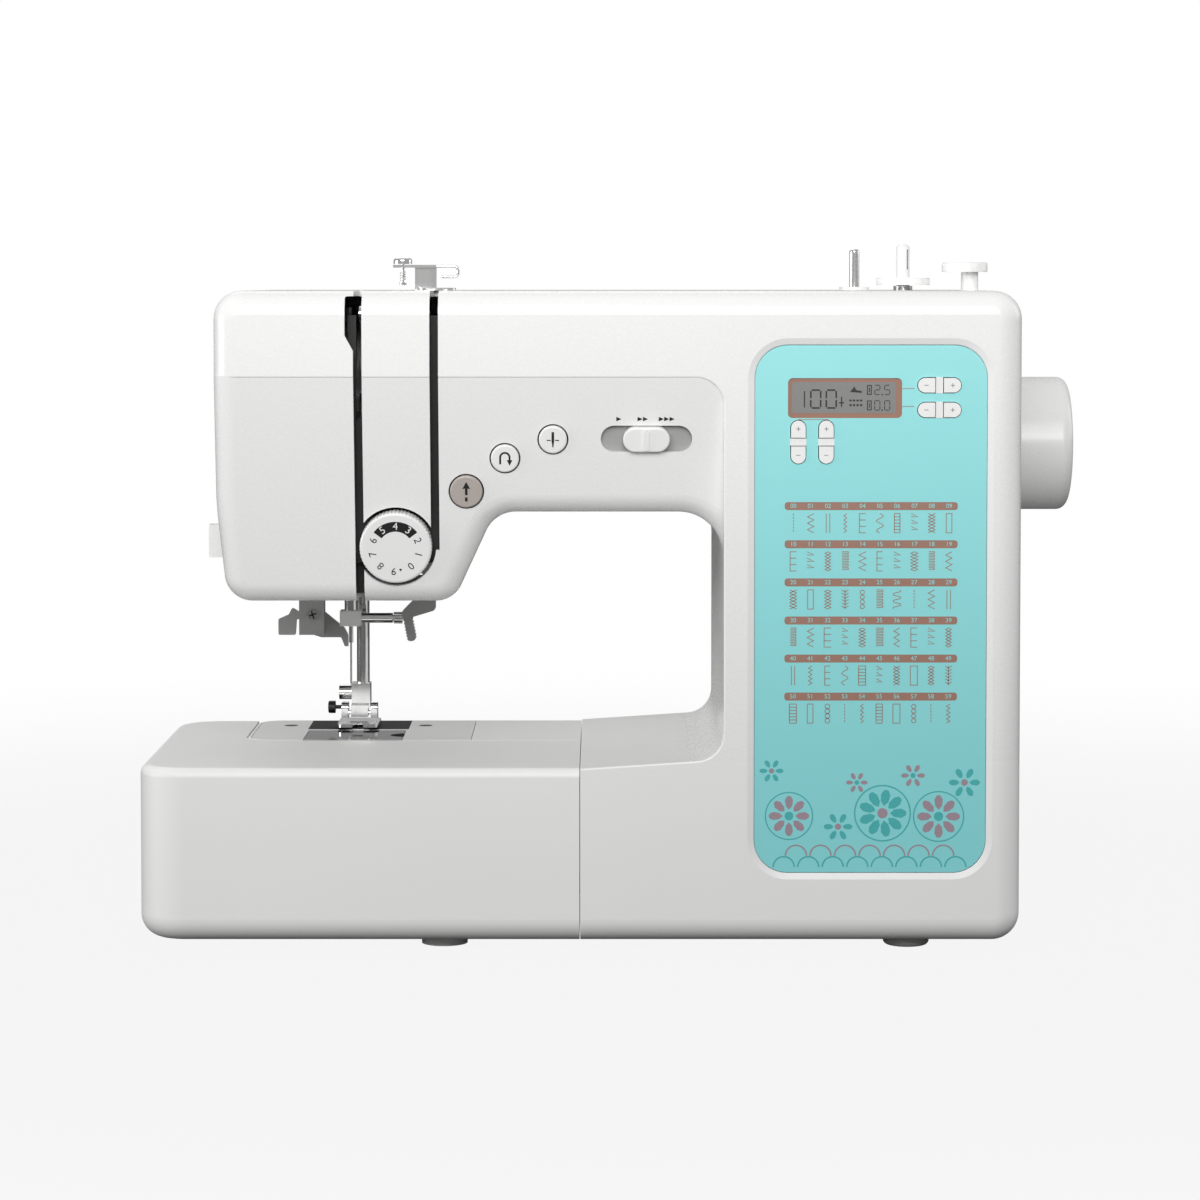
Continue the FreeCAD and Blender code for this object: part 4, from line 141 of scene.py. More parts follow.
def moulded(name, look):
    # plastic with a fine moulded grain, faint clouding and uneven gloss
    bench = Bench(name)
    clouds = bench.noise(cloudScale)
    grain = bench.noise(look["grainScale"], 3.0)
    colour = bench.blend(clouds, look["colour"], look["shade"])
    rough = look["rough"] + (grain - 0.5) * look["roughSwing"]
    normal = bench.bump(grain, look["grain"], 0.0002)
    return bench.surface(Base_Color=colour, Roughness=rough, Normal=normal)


def brushed(name, look):
    # metal with drawn lines along one axis and a slow change of tone
    bench = Bench(name)
    stretched = bench.add("ShaderNodeMapping", None,
                          {"Vector": bench.place(), "Scale": look["stretch"]})
    lines = bench.add("ShaderNodeTexNoise", None, {"Vector": stretched, "Scale": 400.0, "Detail": 3.0})
    tone = bench.blend(bench.noise(60.0), look["colour"], look["shade"])
    rough = look["rough"] + (lines - 0.5) * look["roughSwing"]
    normal = bench.bump(lines, look["lines"], 0.0001)
    return bench.surface(Base_Color=tone, Roughness=rough, Metallic=1.0, Normal=normal)


casingLook = {
    "colour": paint(243, 243, 242), "shade": paint(238, 238, 237),
    "gloss": 0.27, "matt": 0.42, "mattTop": 0.078, "grainScale": 1700.0,
    "grainGloss": 0.008, "grainMatt": 0.05, "mattFade": 0.006, "cloudScale": 9.0, "roughSwing": 0.08,
}


def casingWhite(look):
    # the arm is glossy, the bed and its attachment carry a finer matt grain
    bench = Bench("casingWhite")
    x, y, z = bench.axes()
    low = 1 - bench.fade(z, look["mattTop"], look["mattTop"] + look["mattFade"])
    grain = bench.noise(look["grainScale"], 3.0)
    clouds = bench.noise(look["cloudScale"])
    colour = bench.blend(clouds, look["colour"], look["shade"])
    rough = look["gloss"] + low * (look["matt"] - look["gloss"]) + (grain - 0.5) * look["roughSwing"]
    height = grain * (look["grainGloss"] + low * (look["grainMatt"] - look["grainGloss"]))
    normal = bench.bump(height, 1.0, 0.0004)
    return bench.surface(Base_Color=colour, Roughness=rough, Normal=normal)


# the film's colour runs from the bottom tone at lowZ to the top tone at highZ: painted shade, the fall of
# light with height
panelLook = {
    "top": paint(154, 230, 231), "bottom": paint(140, 220, 223), "lowZ": 0.036, "highZ": 0.26,
    "rough": 0.36, "roughSwing": 0.10, "weaveScale": 2600.0,
}


def panelFilm(look):
    bench = Bench("panelFilm")
    x, y, z = bench.axes()
    height = bench.add("ShaderNodeMapRange", None,
                       {"Value": z, "From Min": look["lowZ"], "From Max": look["highZ"]})
    weave = bench.noise(look["weaveScale"])
    # lower film painted darker and upper film lighter, a painted fall of light
    colour = bench.blend(height, look["bottom"], look["top"])
    return bench.surface(Base_Color=colour, Roughness=look["rough"] + (weave - 0.5) * look["roughSwing"],
                         Normal=bench.bump(weave, 0.05, 0.0001))


# pale steel, with the field round the feed teeth painted dark as a painted reflection
plateLook = {
    "pale": paint(232, 232, 230), "dark": paint(34, 34, 35), "fieldX": (-0.1445, -0.0977),
    "fieldY": (0.0440, 0.0765), "rough": 0.34, "darkRough": 0.62, "paleMetal": 0.35,
    "roughSwing": 0.16, "lineScale": 900.0,
}


def plateSteel(look):
    # brushed plate; the field round the feed teeth is painted near black and duller, a painted dark
    # reflection of the polished steel there
    bench = Bench("plateSteel")
    x, y, z = bench.axes()
    # mask of the painted dark reflection round the feed teeth
    paintedReflection = (x > look["fieldX"][0]) * (x < look["fieldX"][1])
    paintedReflection = paintedReflection * (y > look["fieldY"][0]) * (y < look["fieldY"][1])
    stretched = bench.add("ShaderNodeMapping", None,
                          {"Vector": bench.place(), "Scale": (0.1, 1.0, 1.0)})
    lines = bench.add("ShaderNodeTexNoise", None,
                      {"Vector": stretched, "Scale": look["lineScale"], "Detail": 3.0})
    colour = bench.blend(paintedReflection, look["pale"], look["dark"])
    rough = look["rough"] + paintedReflection * (look["darkRough"] - look["rough"]) + (lines - 0.5) * look["roughSwing"]
    metal = look["paleMetal"] * (1 - paintedReflection)
    return bench.surface(Base_Color=colour, Roughness=rough, Metallic=metal, Specular_IOR_Level=0.12,
                         Normal=bench.bump(lines, 0.08, 0.0001))


def smokeClear():
    bench = Bench("smokeClear")
    swirl = bench.noise(40.0)
    return bench.surface(Base_Color=bench.blend(swirl, paint(104, 107, 110), paint(88, 91, 94)),
                         Roughness=0.05 + swirl * 0.03, Transmission_Weight=0.75, IOR=1.49)


def printed(name, colour, shade, rough=0.45):
    # screen-printed ink, a little uneven
    bench = Bench(name)
    blot = bench.noise(700.0, 2.0)
    return bench.surface(Base_Color=bench.blend(blot, colour, shade), Roughness=rough + (blot - 0.5) * 0.1)


buttonLook = {"colour": paint(246, 246, 245), "shade": paint(240, 240, 239), "rough": 0.26,
              "roughSwing": 0.06, "grain": 0.03, "grainScale": 1800.0}
taupeLook = {"colour": paint(186, 178, 172), "shade": paint(178, 169, 163), "rough": 0.30,
             "roughSwing": 0.08, "grain": 0.05, "grainScale": 1800.0}
greyLook = {"colour": paint(172, 172, 171), "shade": paint(158, 158, 158), "rough": 0.46,
            "roughSwing": 0.14, "grain": 0.14, "grainScale": 1400.0}
blackLook = {"colour": paint(20, 20, 21), "shade": paint(13, 13, 14), "rough": 0.42,
             "roughSwing": 0.16, "grain": 0.12, "grainScale": 1500.0}
baseLook = {"colour": paint(214, 214, 212), "shade": paint(206, 206, 204), "rough": 0.55,
            "roughSwing": 0.12, "grain": 0.18, "grainScale": 1200.0}
copperLook = {"colour": paint(168, 127, 110), "shade": paint(158, 117, 101), "rough": 0.24,
              "roughSwing": 0.06, "grain": 0.02, "grainScale": 1600.0}
padLook = {"colour": paint(206, 206, 204), "shade": paint(196, 196, 194), "rough": 0.62,
           "roughSwing": 0.12, "grain": 0.20, "grainScale": 1000.0}
rubberLook = {"colour": paint(52, 52, 53), "shade": paint(40, 40, 41), "rough": 0.72,
              "roughSwing": 0.14, "grain": 0.22, "grainScale": 1000.0}
boardLook = {"colour": paint(38, 96, 60), "shade": paint(30, 82, 50), "rough": 0.35,
             "roughSwing": 0.10, "grain": 0.10, "grainScale": 500.0}
chromeLook = {"colour": paint(236, 236, 235), "shade": paint(224, 224, 224), "rough": 0.12,
              "roughSwing": 0.08, "lines": 0.02, "stretch": (1.0, 1.0, 0.1)}
satinLook = {"colour": paint(236, 236, 235), "shade": paint(222, 222, 221), "rough": 0.56,
             "roughSwing": 0.12, "lines": 0.04, "stretch": (0.1, 1.0, 1.0)}
steelLook = {"colour": paint(186, 186, 185), "shade": paint(166, 166, 166), "rough": 0.33,
             "roughSwing": 0.18, "lines": 0.08, "stretch": (0.1, 1.0, 1.0)}
screwLook = {"colour": paint(112, 112, 113), "shade": paint(92, 92, 93), "rough": 0.36,
             "roughSwing": 0.16, "lines": 0.08, "stretch": (0.1, 1.0, 1.0)}
castLook = {"colour": paint(158, 158, 157), "shade": paint(138, 138, 138), "rough": 0.52,
            "roughSwing": 0.25, "lines": 0.25, "stretch": (1.0, 1.0, 1.0)}


headLeft = -0.1736  # left side of the head


def threaderTwoTone(grey, white):
    # grey inside the head, the thumb tab outside it white
    bench = Bench("threaderTwoTone")
    x, y, z = bench.axes()
    outside = x < headLeft
    grain = bench.noise(grey["grainScale"], 3.0)
    colour = bench.blend(outside, bench.blend(grain, grey["colour"], grey["shade"]), white["colour"])
    rough = grey["rough"] - outside * (grey["rough"] - white["rough"]) + (grain - 0.5) * grey["roughSwing"]
    return bench.surface(Base_Color=colour, Roughness=rough, Normal=bench.bump(grain, 0.1, 0.0002))


slotGrey = paint(168, 168, 167)


def sliderTwoTone(white, grey):
    # white knob on a grey flange that lies behind the leaning face
    bench = Bench("sliderTwoTone")
    x, y, z = bench.axes()
    face = slopeLook["topY"] + (slopeLook["topZ"] - z) * math.tan(slopeLook["angle"])
    behind = y > face + slopeLook["flange"]
    grain = bench.noise(white["grainScale"], 3.0)
    colour = bench.blend(behind, bench.blend(grain, white["colour"], white["shade"]), grey)
    rough = white["rough"] + behind * 0.2 + (grain - 0.5) * white["roughSwing"]
    return bench.surface(Base_Color=colour, Roughness=rough, Normal=bench.bump(grain, 0.03, 0.0002))


finishes = {
    "casingWhite": casingWhite(casingLook),
    "panelFilm": panelFilm(panelLook),
    "plateSteel": plateSteel(plateLook),
    "smokeClear": smokeClear(),
    "buttonWhite": moulded("buttonWhite", buttonLook),
    "buttonTaupe": moulded("buttonTaupe", taupeLook),
    "leverGrey": moulded("leverGrey", greyLook),
    "blackMoulded": moulded("blackMoulded", blackLook),
    "baseSatin": moulded("baseSatin", baseLook),
    "displayCopper": moulded("displayCopper", copperLook),
    "rubberBlack": moulded("rubberBlack", rubberLook),
    "padPale": moulded("padPale", padLook),
    "threaderTwoTone": threaderTwoTone(greyLook, buttonLook),
    "boardGreen": moulded("boardGreen", boardLook),
    "polishedMetal": brushed("polishedMetal", chromeLook),
    "satinMetal": brushed("satinMetal", satinLook),
    "brushedSteel": brushed("brushedSteel", steelLook),
    "darkSteel": brushed("darkSteel", screwLook),
    "castAlloy": brushed("castAlloy", castLook),
    "sliderTwoTone": sliderTwoTone(buttonLook, slotGrey),
    "inkBrown": printed("inkBrown", paint(164, 124, 108), paint(156, 116, 100)),
    "inkTeal": printed("inkTeal", paint(78, 184, 184), paint(68, 174, 175)),
    "inkMauve": printed("inkMauve", paint(166, 146, 157), paint(158, 138, 149)),
    "inkPale": printed("inkPale", paint(150, 226, 225), paint(146, 221, 221)),
    "inkDark": printed("inkDark", paint(28, 27, 27), paint(20, 20, 20)),
    "inkGrey": printed("inkGrey", paint(150, 148, 146), paint(142, 140, 138)),
    "inkWhite": printed("inkWhite", paint(244, 244, 243), paint(236, 236, 235)),
    "displayGrey": printed("displayGrey", paint(141, 141, 139), paint(133, 133, 131), 0.25),
    "threadIvory": printed("threadIvory", paint(226, 222, 210), paint(212, 207, 194), 0.6),
}

dressing = {
    "casingWhite": ["front_cover", "rear_cover", "free_arm_cover", "flat_bed_attachment", "handwheel"],
    "panelFilm": ["control_panel"],
    "plateSteel": ["needle_plate"],
    "smokeClear": ["bobbin_cover"],
    "buttonWhite": ["reverse_button", "needle_position_button", "tension_dial", "width_key",
                    "length_key", "tens_key", "units_key", "bobbin_winder", "bobbin_winder_stop",
                    "bobbin"],
    "sliderTwoTone": ["speed_slider"],
    "buttonTaupe": ["start_stop_button"],
    "leverGrey": ["presser_lifter", "drive_pulley"],
    "blackMoulded": ["bobbin_case", "foot_lock_button", "thread_channel", "power_sockets", "power_switch",
                     "case_screws"],
    "baseSatin": ["base_plate"],
    "displayCopper": ["lcd_window"],
    "rubberBlack": ["motor_belt", "timing_belt"],
    "padPale": ["feet"],
    "threaderTwoTone": ["needle_threader"],
    "boardGreen": ["control_board"],
    "satinMetal": ["needle_clamp"],
    "polishedMetal": ["needle_bar", "needle_clamp_screw", "needle", "take_up_lever",
                      "presser_bar", "presser_foot_holder", "holder_screw", "presser_foot",
                      "tension_discs", "top_thread_guide", "spool_pin"],
    "brushedSteel": ["shaft_bushings", "feed_dog", "rotary_hook", "lower_shaft",
                     "upper_shaft", "needle_bar_crank", "motor", "motor_pulley", "needle_bar_frame",
                     "needle_bar_link", "presser_spring", "bobbin_winder_arm"],
    "castAlloy": ["main_frame"],
}
for finish, members in dressing.items():
    for member in members:
        nodes[member].data.materials.clear()
        nodes[member].data.materials.append(finishes[finish])
print("finishes on", sum(len(members) for members in dressing.values()), "solids")


# making pieces

def meshPiece(name, mesh, finish, body):
    piece = bpy.data.objects.new(name, mesh)
    scene.collection.objects.link(piece)
    mesh.materials.clear()
    mesh.materials.append(finishes[finish])
    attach(piece, body)
    return piece


def flatMesh(name, outlines):
    # flat shapes in X and Z, each a list of corners, facing the operator
    mesh = bpy.data.meshes.new(name)
    work = bmesh.new()
    for outline in outlines:
        face = work.faces.new([work.verts.new((x, 0, z)) for x, z in outline])
        face.normal_update()
        if face.normal.y > 0:
            face.normal_flip()
    bmesh.ops.triangulate(work, faces=work.faces[:])
    work.to_mesh(mesh)
    work.free()
    return mesh


def ribbon(points, width, closed=False):
    # quads of one width along a line of points, mitred at its bends
    path = [Vector(point) for point in points]
    count = len(path)
    sides = []
    for index, point in enumerate(path):
        back = path[index - 1] if index or closed else point
        ahead = path[(index + 1) % count] if index < count - 1 or closed else point
        before = (point - back).normalized() if point != back else (ahead - point).normalized()
        after = (ahead - point).normalized() if point != ahead else before
        normal = Vector((-before.y, before.x))
        turn = Vector((-(before + after).y, (before + after).x))
        turn = turn.normalized() if turn.length > 0.2 else normal
        reach = width / 2 / max(0.45, turn.dot(normal))
        sides.append((point + turn * reach, point - turn * reach))
    loops = range(count if closed else count - 1)
    return [[sides[i][0], sides[i][1], sides[(i + 1) % count][1], sides[(i + 1) % count][0]] for i in loops]


def disc(at, radius, corners=20, start=0.0, end=2 * math.pi):
    full = end - start >= 2 * math.pi - 1e-6
    steps = corners if full else corners + 1
    turns = [start + (end - start) * step / corners for step in range(steps)]
    return [(at[0] + radius * math.cos(turn), at[1] + radius * math.sin(turn)) for turn in turns]


def bandOf(at, inner, outer, start, end, steps):
    quads = []
    for step in range(steps):
        first = start + (end - start) * step / steps
        second = start + (end - start) * (step + 1) / steps
        quads.append([(at[0] + r * math.cos(t), at[1] + r * math.sin(t))
                      for r, t in ((inner, first), (outer, first), (outer, second), (inner, second))])
    return quads


def roundedBar(at, size, radius, steps=4):
    corners = []
    for turn, (sideX, sideZ) in enumerate(((1, 1), (-1, 1), (-1, -1), (1, -1))):
        middle = (at[0] + sideX * (size[0] / 2 - radius), at[1] + sideZ * (size[1] / 2 - radius))
        start = turn * math.pi / 2
        corners += disc(middle, radius, steps, start, start + math.pi / 2)
    return corners


def words(text, size, at=(0, 0)):
    # plain figures, centred on a point, as a flat mesh in X and Z
    curve = bpy.data.curves.new("figures", "FONT")
    curve.body = text
    curve.size = size
    curve.align_x = "CENTER"
    curve.align_y = "CENTER"
    curve.resolution_u = 3
    holder = bpy.data.objects.new("figures", curve)
    scene.collection.objects.link(holder)
    bpy.context.view_layer.update()
    mesh = bpy.data.meshes.new_from_object(holder.evaluated_get(bpy.context.evaluated_depsgraph_get()))
    bpy.data.objects.remove(holder)
    bpy.data.curves.remove(curve)
    mesh.transform(Matrix.Translation((at[0], 0, at[1])) @ Matrix.Rotation(math.pi / 2, 4, "X"))
    return mesh


def joinMeshes(name, meshes):
    work = bmesh.new()
    for mesh in meshes:
        work.from_mesh(mesh)
        bpy.data.meshes.remove(mesh)
    joined = bpy.data.meshes.new(name)
    work.to_mesh(joined)
    work.free()
    return joined


# node trees that repeat a shape or follow a rule

def newTree(name, inputs):
    tree = bpy.data.node_groups.new(name, "GeometryNodeTree")
    tree.interface.new_socket("Geometry", in_out="OUTPUT", socket_type="NodeSocketGeometry")
    for label, kind in inputs.items():
        tree.interface.new_socket(label, in_out="INPUT", socket_type="NodeSocket" + kind)
    start = tree.nodes.new("NodeGroupInput")
    end = tree.nodes.new("NodeGroupOutput")
    return tree, start.outputs, end.inputs[0]


def treeNode(tree, kind, settings=None, sockets=None):
    node = tree.nodes.new(kind)
    for key, value in (settings or {}).items():
        setattr(node, key, value)
    for key, value in (sockets or {}).items():
        if isinstance(value, bpy.types.NodeSocket):
            tree.links.new(value, node.inputs[key])
        else:
            node.inputs[key].default_value = value
    return node.outputs


def endTree(tree, geometry, material, end):
    real = treeNode(tree, "GeometryNodeRealizeInstances", None, {0: geometry})
    dressed = treeNode(tree, "GeometryNodeSetMaterial", None, {"Geometry": real[0], "Material": material})
    tree.links.new(dressed[0], end)
    return tree


def rowTree():
    tree, given, end = newTree("rowOf", {"Source": "Object", "Count": "Int", "Start": "Vector",
                                         "Step": "Vector", "Finish": "Material"})
    line = treeNode(tree, "GeometryNodeMeshLine", None,
                    {"Count": given["Count"], "Start Location": given["Start"], "Offset": given["Step"]})
    source = treeNode(tree, "GeometryNodeObjectInfo", None, {"Object": given["Source"]})
    copies = treeNode(tree, "GeometryNodeInstanceOnPoints", None,
                      {"Points": line[0], "Instance": source["Geometry"]})
    return endTree(tree, copies[0], given["Finish"], end)


def ringTree():
    tree, given, end = newTree("ringOf", {"Source": "Object", "Count": "Int", "Radius": "Float",
                                          "Finish": "Material"})
    circle = treeNode(tree, "GeometryNodeMeshCircle", None,
                      {"Vertices": given["Count"], "Radius": given["Radius"]})
    index = treeNode(tree, "GeometryNodeInputIndex")
    share = treeNode(tree, "ShaderNodeMath", {"operation": "DIVIDE"}, {0: index[0], 1: given["Count"]})
    turn = treeNode(tree, "ShaderNodeMath", {"operation": "MULTIPLY"}, {0: share[0], 1: 2 * math.pi})
    rotation = treeNode(tree, "ShaderNodeCombineXYZ", None, {"Z": turn[0]})
    source = treeNode(tree, "GeometryNodeObjectInfo", None, {"Object": given["Source"]})
    copies = treeNode(tree, "GeometryNodeInstanceOnPoints", None,
                      {"Points": circle[0], "Instance": source["Geometry"], "Rotation": rotation[0]})
    return endTree(tree, copies[0], given["Finish"], end)


def windingTree():
    tree, given, end = newTree("windingOf", {"Turns": "Float", "Steps": "Int", "Inner": "Float",
                                             "Outer": "Float", "Height": "Float", "Thread": "Float",
                                             "Finish": "Material"})
    spiral = treeNode(tree, "GeometryNodeCurveSpiral", None,
                      {"Resolution": given["Steps"], "Rotations": given["Turns"],
                       "Start Radius": given["Inner"], "End Radius": given["Outer"],
                       "Height": given["Height"]})
    profile = treeNode(tree, "GeometryNodeCurvePrimitiveCircle", None,
                       {"Resolution": 6, "Radius": given["Thread"]})
    tube = treeNode(tree, "GeometryNodeCurveToMesh", None,
                    {"Curve": spiral[0], "Profile Curve": profile[0], "Fill Caps": True})
    return endTree(tree, tube[0], given["Finish"], end)


trees = {"rowOf": rowTree(), "ringOf": ringTree(), "windingOf": windingTree()}


def grow(treeName, values):
    # runs a tree with its named inputs and gives back a plain mesh
    tree = trees[treeName]
    holder = bpy.data.objects.new("grower", bpy.data.meshes.new("grower"))
    scene.collection.objects.link(holder)
    modifier = holder.modifiers.new("grow", "NODES")
    modifier.node_group = tree
    for item in tree.interface.items_tree:
        if item.in_out == "INPUT":
            modifier[item.identifier] = values[item.name]
    bpy.context.view_layer.update()
    mesh = bpy.data.meshes.new_from_object(holder.evaluated_get(bpy.context.evaluated_depsgraph_get()))
    holder.modifiers.remove(modifier)
    bpy.data.objects.remove(holder)
    return mesh


def sourceOf(mesh):
    holder = bpy.data.objects.new("source", mesh)
    scene.collection.objects.link(holder)
    return holder


def dropSource(holder):
    mesh = holder.data
    bpy.data.objects.remove(holder)
    bpy.data.meshes.remove(mesh)


# places on the machine

def onSlope(x, z, lift):
    # a sheet drawn in X and Z laid on the leaning face of the arm, lifted off it
    turn = Matrix.Rotation(slopeLook["angle"], 4, "X")
    y = slopeLook["topY"] + (slopeLook["topZ"] - z) * math.tan(slopeLook["angle"])
    return Matrix.Translation((x, y, z)) @ turn @ Matrix.Translation((0, -lift, 0))


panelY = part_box("control_panel")[0].y
inkLift = 0.06 * mm


# panel print

chart = {"left": 69.9 * mm, "right": 143.6 * mm, "topZ": 192.4 * mm, "pitch": 16.3 * mm, "rows": 6,
         "columns": 10, "barHeight": 3.4 * mm, "figure": 2.7 * mm, "iconTop": 3.2 * mm,
         "iconHeight": 8.2 * mm, "iconWidth": 3.0 * mm, "line": 0.32 * mm}


def stitchDesign(kind, w, h):
    # plain utility stitches, drawn downwards from the top; each a list of lines
    n = 6
    steps = [h * k / n for k in range(n + 1)]
    if kind == 0:
        return [[(0, -a), (0, -a - h / 9)] for a in steps[:-1]]
    if kind == 1:
        return [[(w / 2 * (-1) ** k, -a) for k, a in enumerate(steps)]]
    if kind == 2:
        return [[(-w / 4, 0), (-w / 4, -h)], [(w / 4, 0), (w / 4, -h)]]
    if kind == 3:
        return [[(w / 4 * (-1) ** k, -h * k / 9) for k in range(10)]]
    if kind == 4:
        return [[(-w / 2, 0), (-w / 2, -h)]] + [[(-w / 2, -a), (w / 2, -a)] for a in steps[::2]]
    if kind == 5:
        return [[(w / 2 * math.sin(2 * math.pi * k / 8), -h * k / 16) for k in range(17)]]
    if kind == 6:
        return [[(-w / 2, 0), (-w / 2, -h)], [(w / 2, 0), (w / 2, -h)]] + \
            [[(-w / 2, -a), (w / 2, -a)] for a in steps]
    if kind == 7:
        return [[(-w / 2, -a), (w / 2, -a - h / n), (-w / 2, -a - h / n)] for a in steps[:-1:2]]
    if kind == 8:
        return [[(-w / 2, -a), (w / 2, -a - h / n)] for a in steps[:-1]] + \
            [[(w / 2, -a), (-w / 2, -a - h / n)] for a in steps[:-1]]
    if kind == 9:
        return [[(-w / 2, 0), (w / 2, 0), (w / 2, -h), (-w / 2, -h), (-w / 2, 0)]]
    if kind == 10:
        return [[(0, -a), (w / 2, -a - h / 12), (0, -a - h / n), (-w / 2, -a - h / 12), (0, -a)]
                for a in steps[:-1]]
    if kind == 11:
        return [[(0, 0), (0, -h)]] + [[(-w / 2, -a), (0, -a - h / 9), (w / 2, -a)] for a in steps[:-1]]
    if kind == 12:
        return [disc((0, -h * (k + 0.5) / 4), w / 2.6, 9) + disc((0, -h * (k + 0.5) / 4), w / 2.6, 9)[:1]
                for k in range(4)]
    if kind == 13:
        return [[(-w / 2, -a), (w / 2, -a), (w / 2, -a - h / 12), (-w / 2, -a - h / 12)]
                for a in steps[:-1]]
    return [[(w / 2 * (-1) ** (k // 2), -h * k / 11) for k in range(12)]]


def panelChart():
    columnStep = (chart["right"] - chart["left"]) / chart["columns"]
    bar = sourceOf(flatMesh("bar", [roundedBar((0, 0), (chart["right"] - chart["left"],
                                                        chart["barHeight"]), 1.2 * mm)]))
    middle = (chart["left"] + chart["right"]) / 2
    bars = grow("rowOf", {"Source": bar, "Count": chart["rows"],
                          "Start": (middle, panelY - inkLift, chart["topZ"]),
                          "Step": (0, 0, -chart["pitch"]), "Finish": finishes["inkBrown"]})
    dropSource(bar)
    meshPiece("chartBars", bars, "inkBrown", "machine")
    figures = []
    icons = []
    for row in range(chart["rows"]):
        z = chart["topZ"] - row * chart["pitch"]
        for column in range(chart["columns"]):
            x = chart["left"] + (column + 0.5) * columnStep
            figures.append(words("%d%d" % (row, column), chart["figure"], (x, z)))
            kind = (row * 4 + column * (3 if row % 2 else 1) + row // 3) % 15
            wide = chart["iconWidth"] * (0.8 + 0.1 * ((row + column) % 3))
            for line in stitchDesign(kind, wide, chart["iconHeight"]):
                placed = [(x + a, z - chart["iconTop"] + b) for a, b in line]
                icons += ribbon(placed, chart["line"])
    figuresMesh = joinMeshes("chartFigures", figures)
    figuresMesh.transform(Matrix.Translation((0, panelY - 2 * inkLift, 0)))
    meshPiece("chartFigures", figuresMesh, "inkPale", "machine")
    iconsMesh = flatMesh("chartIcons", icons)
    iconsMesh.transform(Matrix.Translation((0, panelY - inkLift, 0)))
    meshPiece("chartIcons", iconsMesh, "inkBrown", "machine")


panelChart()
print("stitch chart printed")

garden = {  # round flowers and waves in the lower part: place, size and ink of each flower
    "flowers": [((72, 59.6), 8.5, 8, "inkMauve"), ((93, 55), 6.0, 6, "inkTeal"),
                ((112, 60.8), 10.0, 9, "inkTeal"), ((136, 59.4), 9.0, 8, "inkMauve"),
                ((147, 74), 6.5, 6, "inkTeal"), ((64.5, 79), 5.0, 6, "inkTeal"),
                ((101, 74), 4.5, 6, "inkMauve"), ((125, 77), 5.0, 6, "inkMauve")],
    "heart": 0.22, "halo": (1.16, 1.22), "haloFrom": 7,  # shares of a flower's size
    "waveStep": 10.5, "waveCount": 8, "waveLeft": 69.8, "waveZ": (37.6, 42.5), "waveBand": (0.40, 0.46),
}


def petal(size):
    shape = [(0.30, 0.0), (0.48, -0.16), (0.78, -0.20), (0.97, -0.10), (1.0, 0.0), (0.97, 0.10),
             (0.78, 0.20), (0.48, 0.16)]
    return [(x * size, z * size) for x, z in shape]


def flowerMesh(size, count, ink):
    # one petal turned about the flower's middle; drawn flat in X and Y, then stood up
    leaf = flatMesh("petal", [petal(size)])
    leaf.transform(Matrix.Rotation(-math.pi / 2, 4, "X"))
    source = sourceOf(leaf)
    mesh = grow("ringOf", {"Source": source, "Count": count, "Radius": size * 0.02,
                           "Finish": finishes[ink]})
    dropSource(source)
    mesh.transform(Matrix.Rotation(math.pi / 2, 4, "X"))
    return mesh


def panelGarden():
    drawn = {"inkMauve": [], "inkTeal": []}
    for (x, z), size, count, ink in garden["flowers"]:
        mesh = flowerMesh(size * mm, count, ink)
        mesh.transform(Matrix.Translation((x * mm, panelY - inkLift, z * mm)))
        drawn[ink].append(mesh)
        heart = flatMesh("heart", [disc((x * mm, z * mm), size * mm * garden["heart"])])
        heart.transform(Matrix.Translation((0, panelY - inkLift, 0)))
        drawn["inkTeal" if ink == "inkMauve" else "inkMauve"].append(heart)
        if size > garden["haloFrom"]:  # a fine ring round the larger flowers
            inner, outer = [size * share * mm for share in garden["halo"]]
            halo = flatMesh("halo", bandOf((x * mm, z * mm), inner, outer, 0, 2 * math.pi, 40))
            halo.transform(Matrix.Translation((0, panelY - inkLift, 0)))
            drawn["inkTeal"].append(halo)
    step = garden["waveStep"] * mm
    for level, z in enumerate(garden["waveZ"]):
        inner, outer = [step * share for share in garden["waveBand"]]
        arc = flatMesh("arc", bandOf((0, 0), inner, outer, 0, math.pi, 12))
        source = sourceOf(arc)
        count = garden["waveCount"] - level
        row = grow("rowOf", {"Source": source, "Count": count,
                             "Start": (garden["waveLeft"] * mm + level * step / 2, panelY - inkLift, z * mm),
                             "Step": (step, 0, 0), "Finish": finishes["inkTeal"]})
        dropSource(source)
        drawn["inkTeal" if level == 0 else "inkMauve"].append(row)
    for ink, meshes in drawn.items():
        name = "gardenTeal" if ink == "inkTeal" else "gardenMauve"
        meshPiece(name, joinMeshes(name, meshes), ink, "machine")


panelGarden()
print("panel flowers printed")

display = {
    "left": 72.9, "right": 117.2, "bottom": 232.0, "top": 245.2, "corner": 0.8, "lift": (0.08, 0.14),
    "largeX": (83.0, 89.6), "largeZ": 238.0, "largeSize": (4.2, 7.6),
    "smallRows": {"25": 241.9, "00": 235.3}, "smallX": (109.2, 113.4), "smallSize": (2.2, 4.0),
    "point": (111.3, -2.0), "pointRadius": 0.35, "thin": 0.4, "thick": 0.5,
    "frame": [(105.0, -1.9), (105.0, 1.9), (106.6, 1.9), (106.6, -1.9)],
    "tick": [(105.8, -1.0), (105.8, 1.0)],
    "one": [(78.2, 234.4), (78.2, 241.4)],
    "needle": [[(94.0, 234.6), (94.0, 239.0)], [(92.9, 236.4), (95.1, 236.4)]],
    "foot": [(97.6, 241.0), (99.4, 243.4), (100.2, 241.8), (102.6, 241.4), (102.6, 240.6)],
    "dashLeft": 97.8, "dashStep": 1.5, "dashCount": 4, "dashRows": (237.4, 235.4), "dash": (1.0, 0.8),
    "dashCorner": 0.1,
}
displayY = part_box("lcd_window")[0].y


def scaled(shape, up=0):
    return [(x * mm, (z + up) * mm) for x, z in shape]


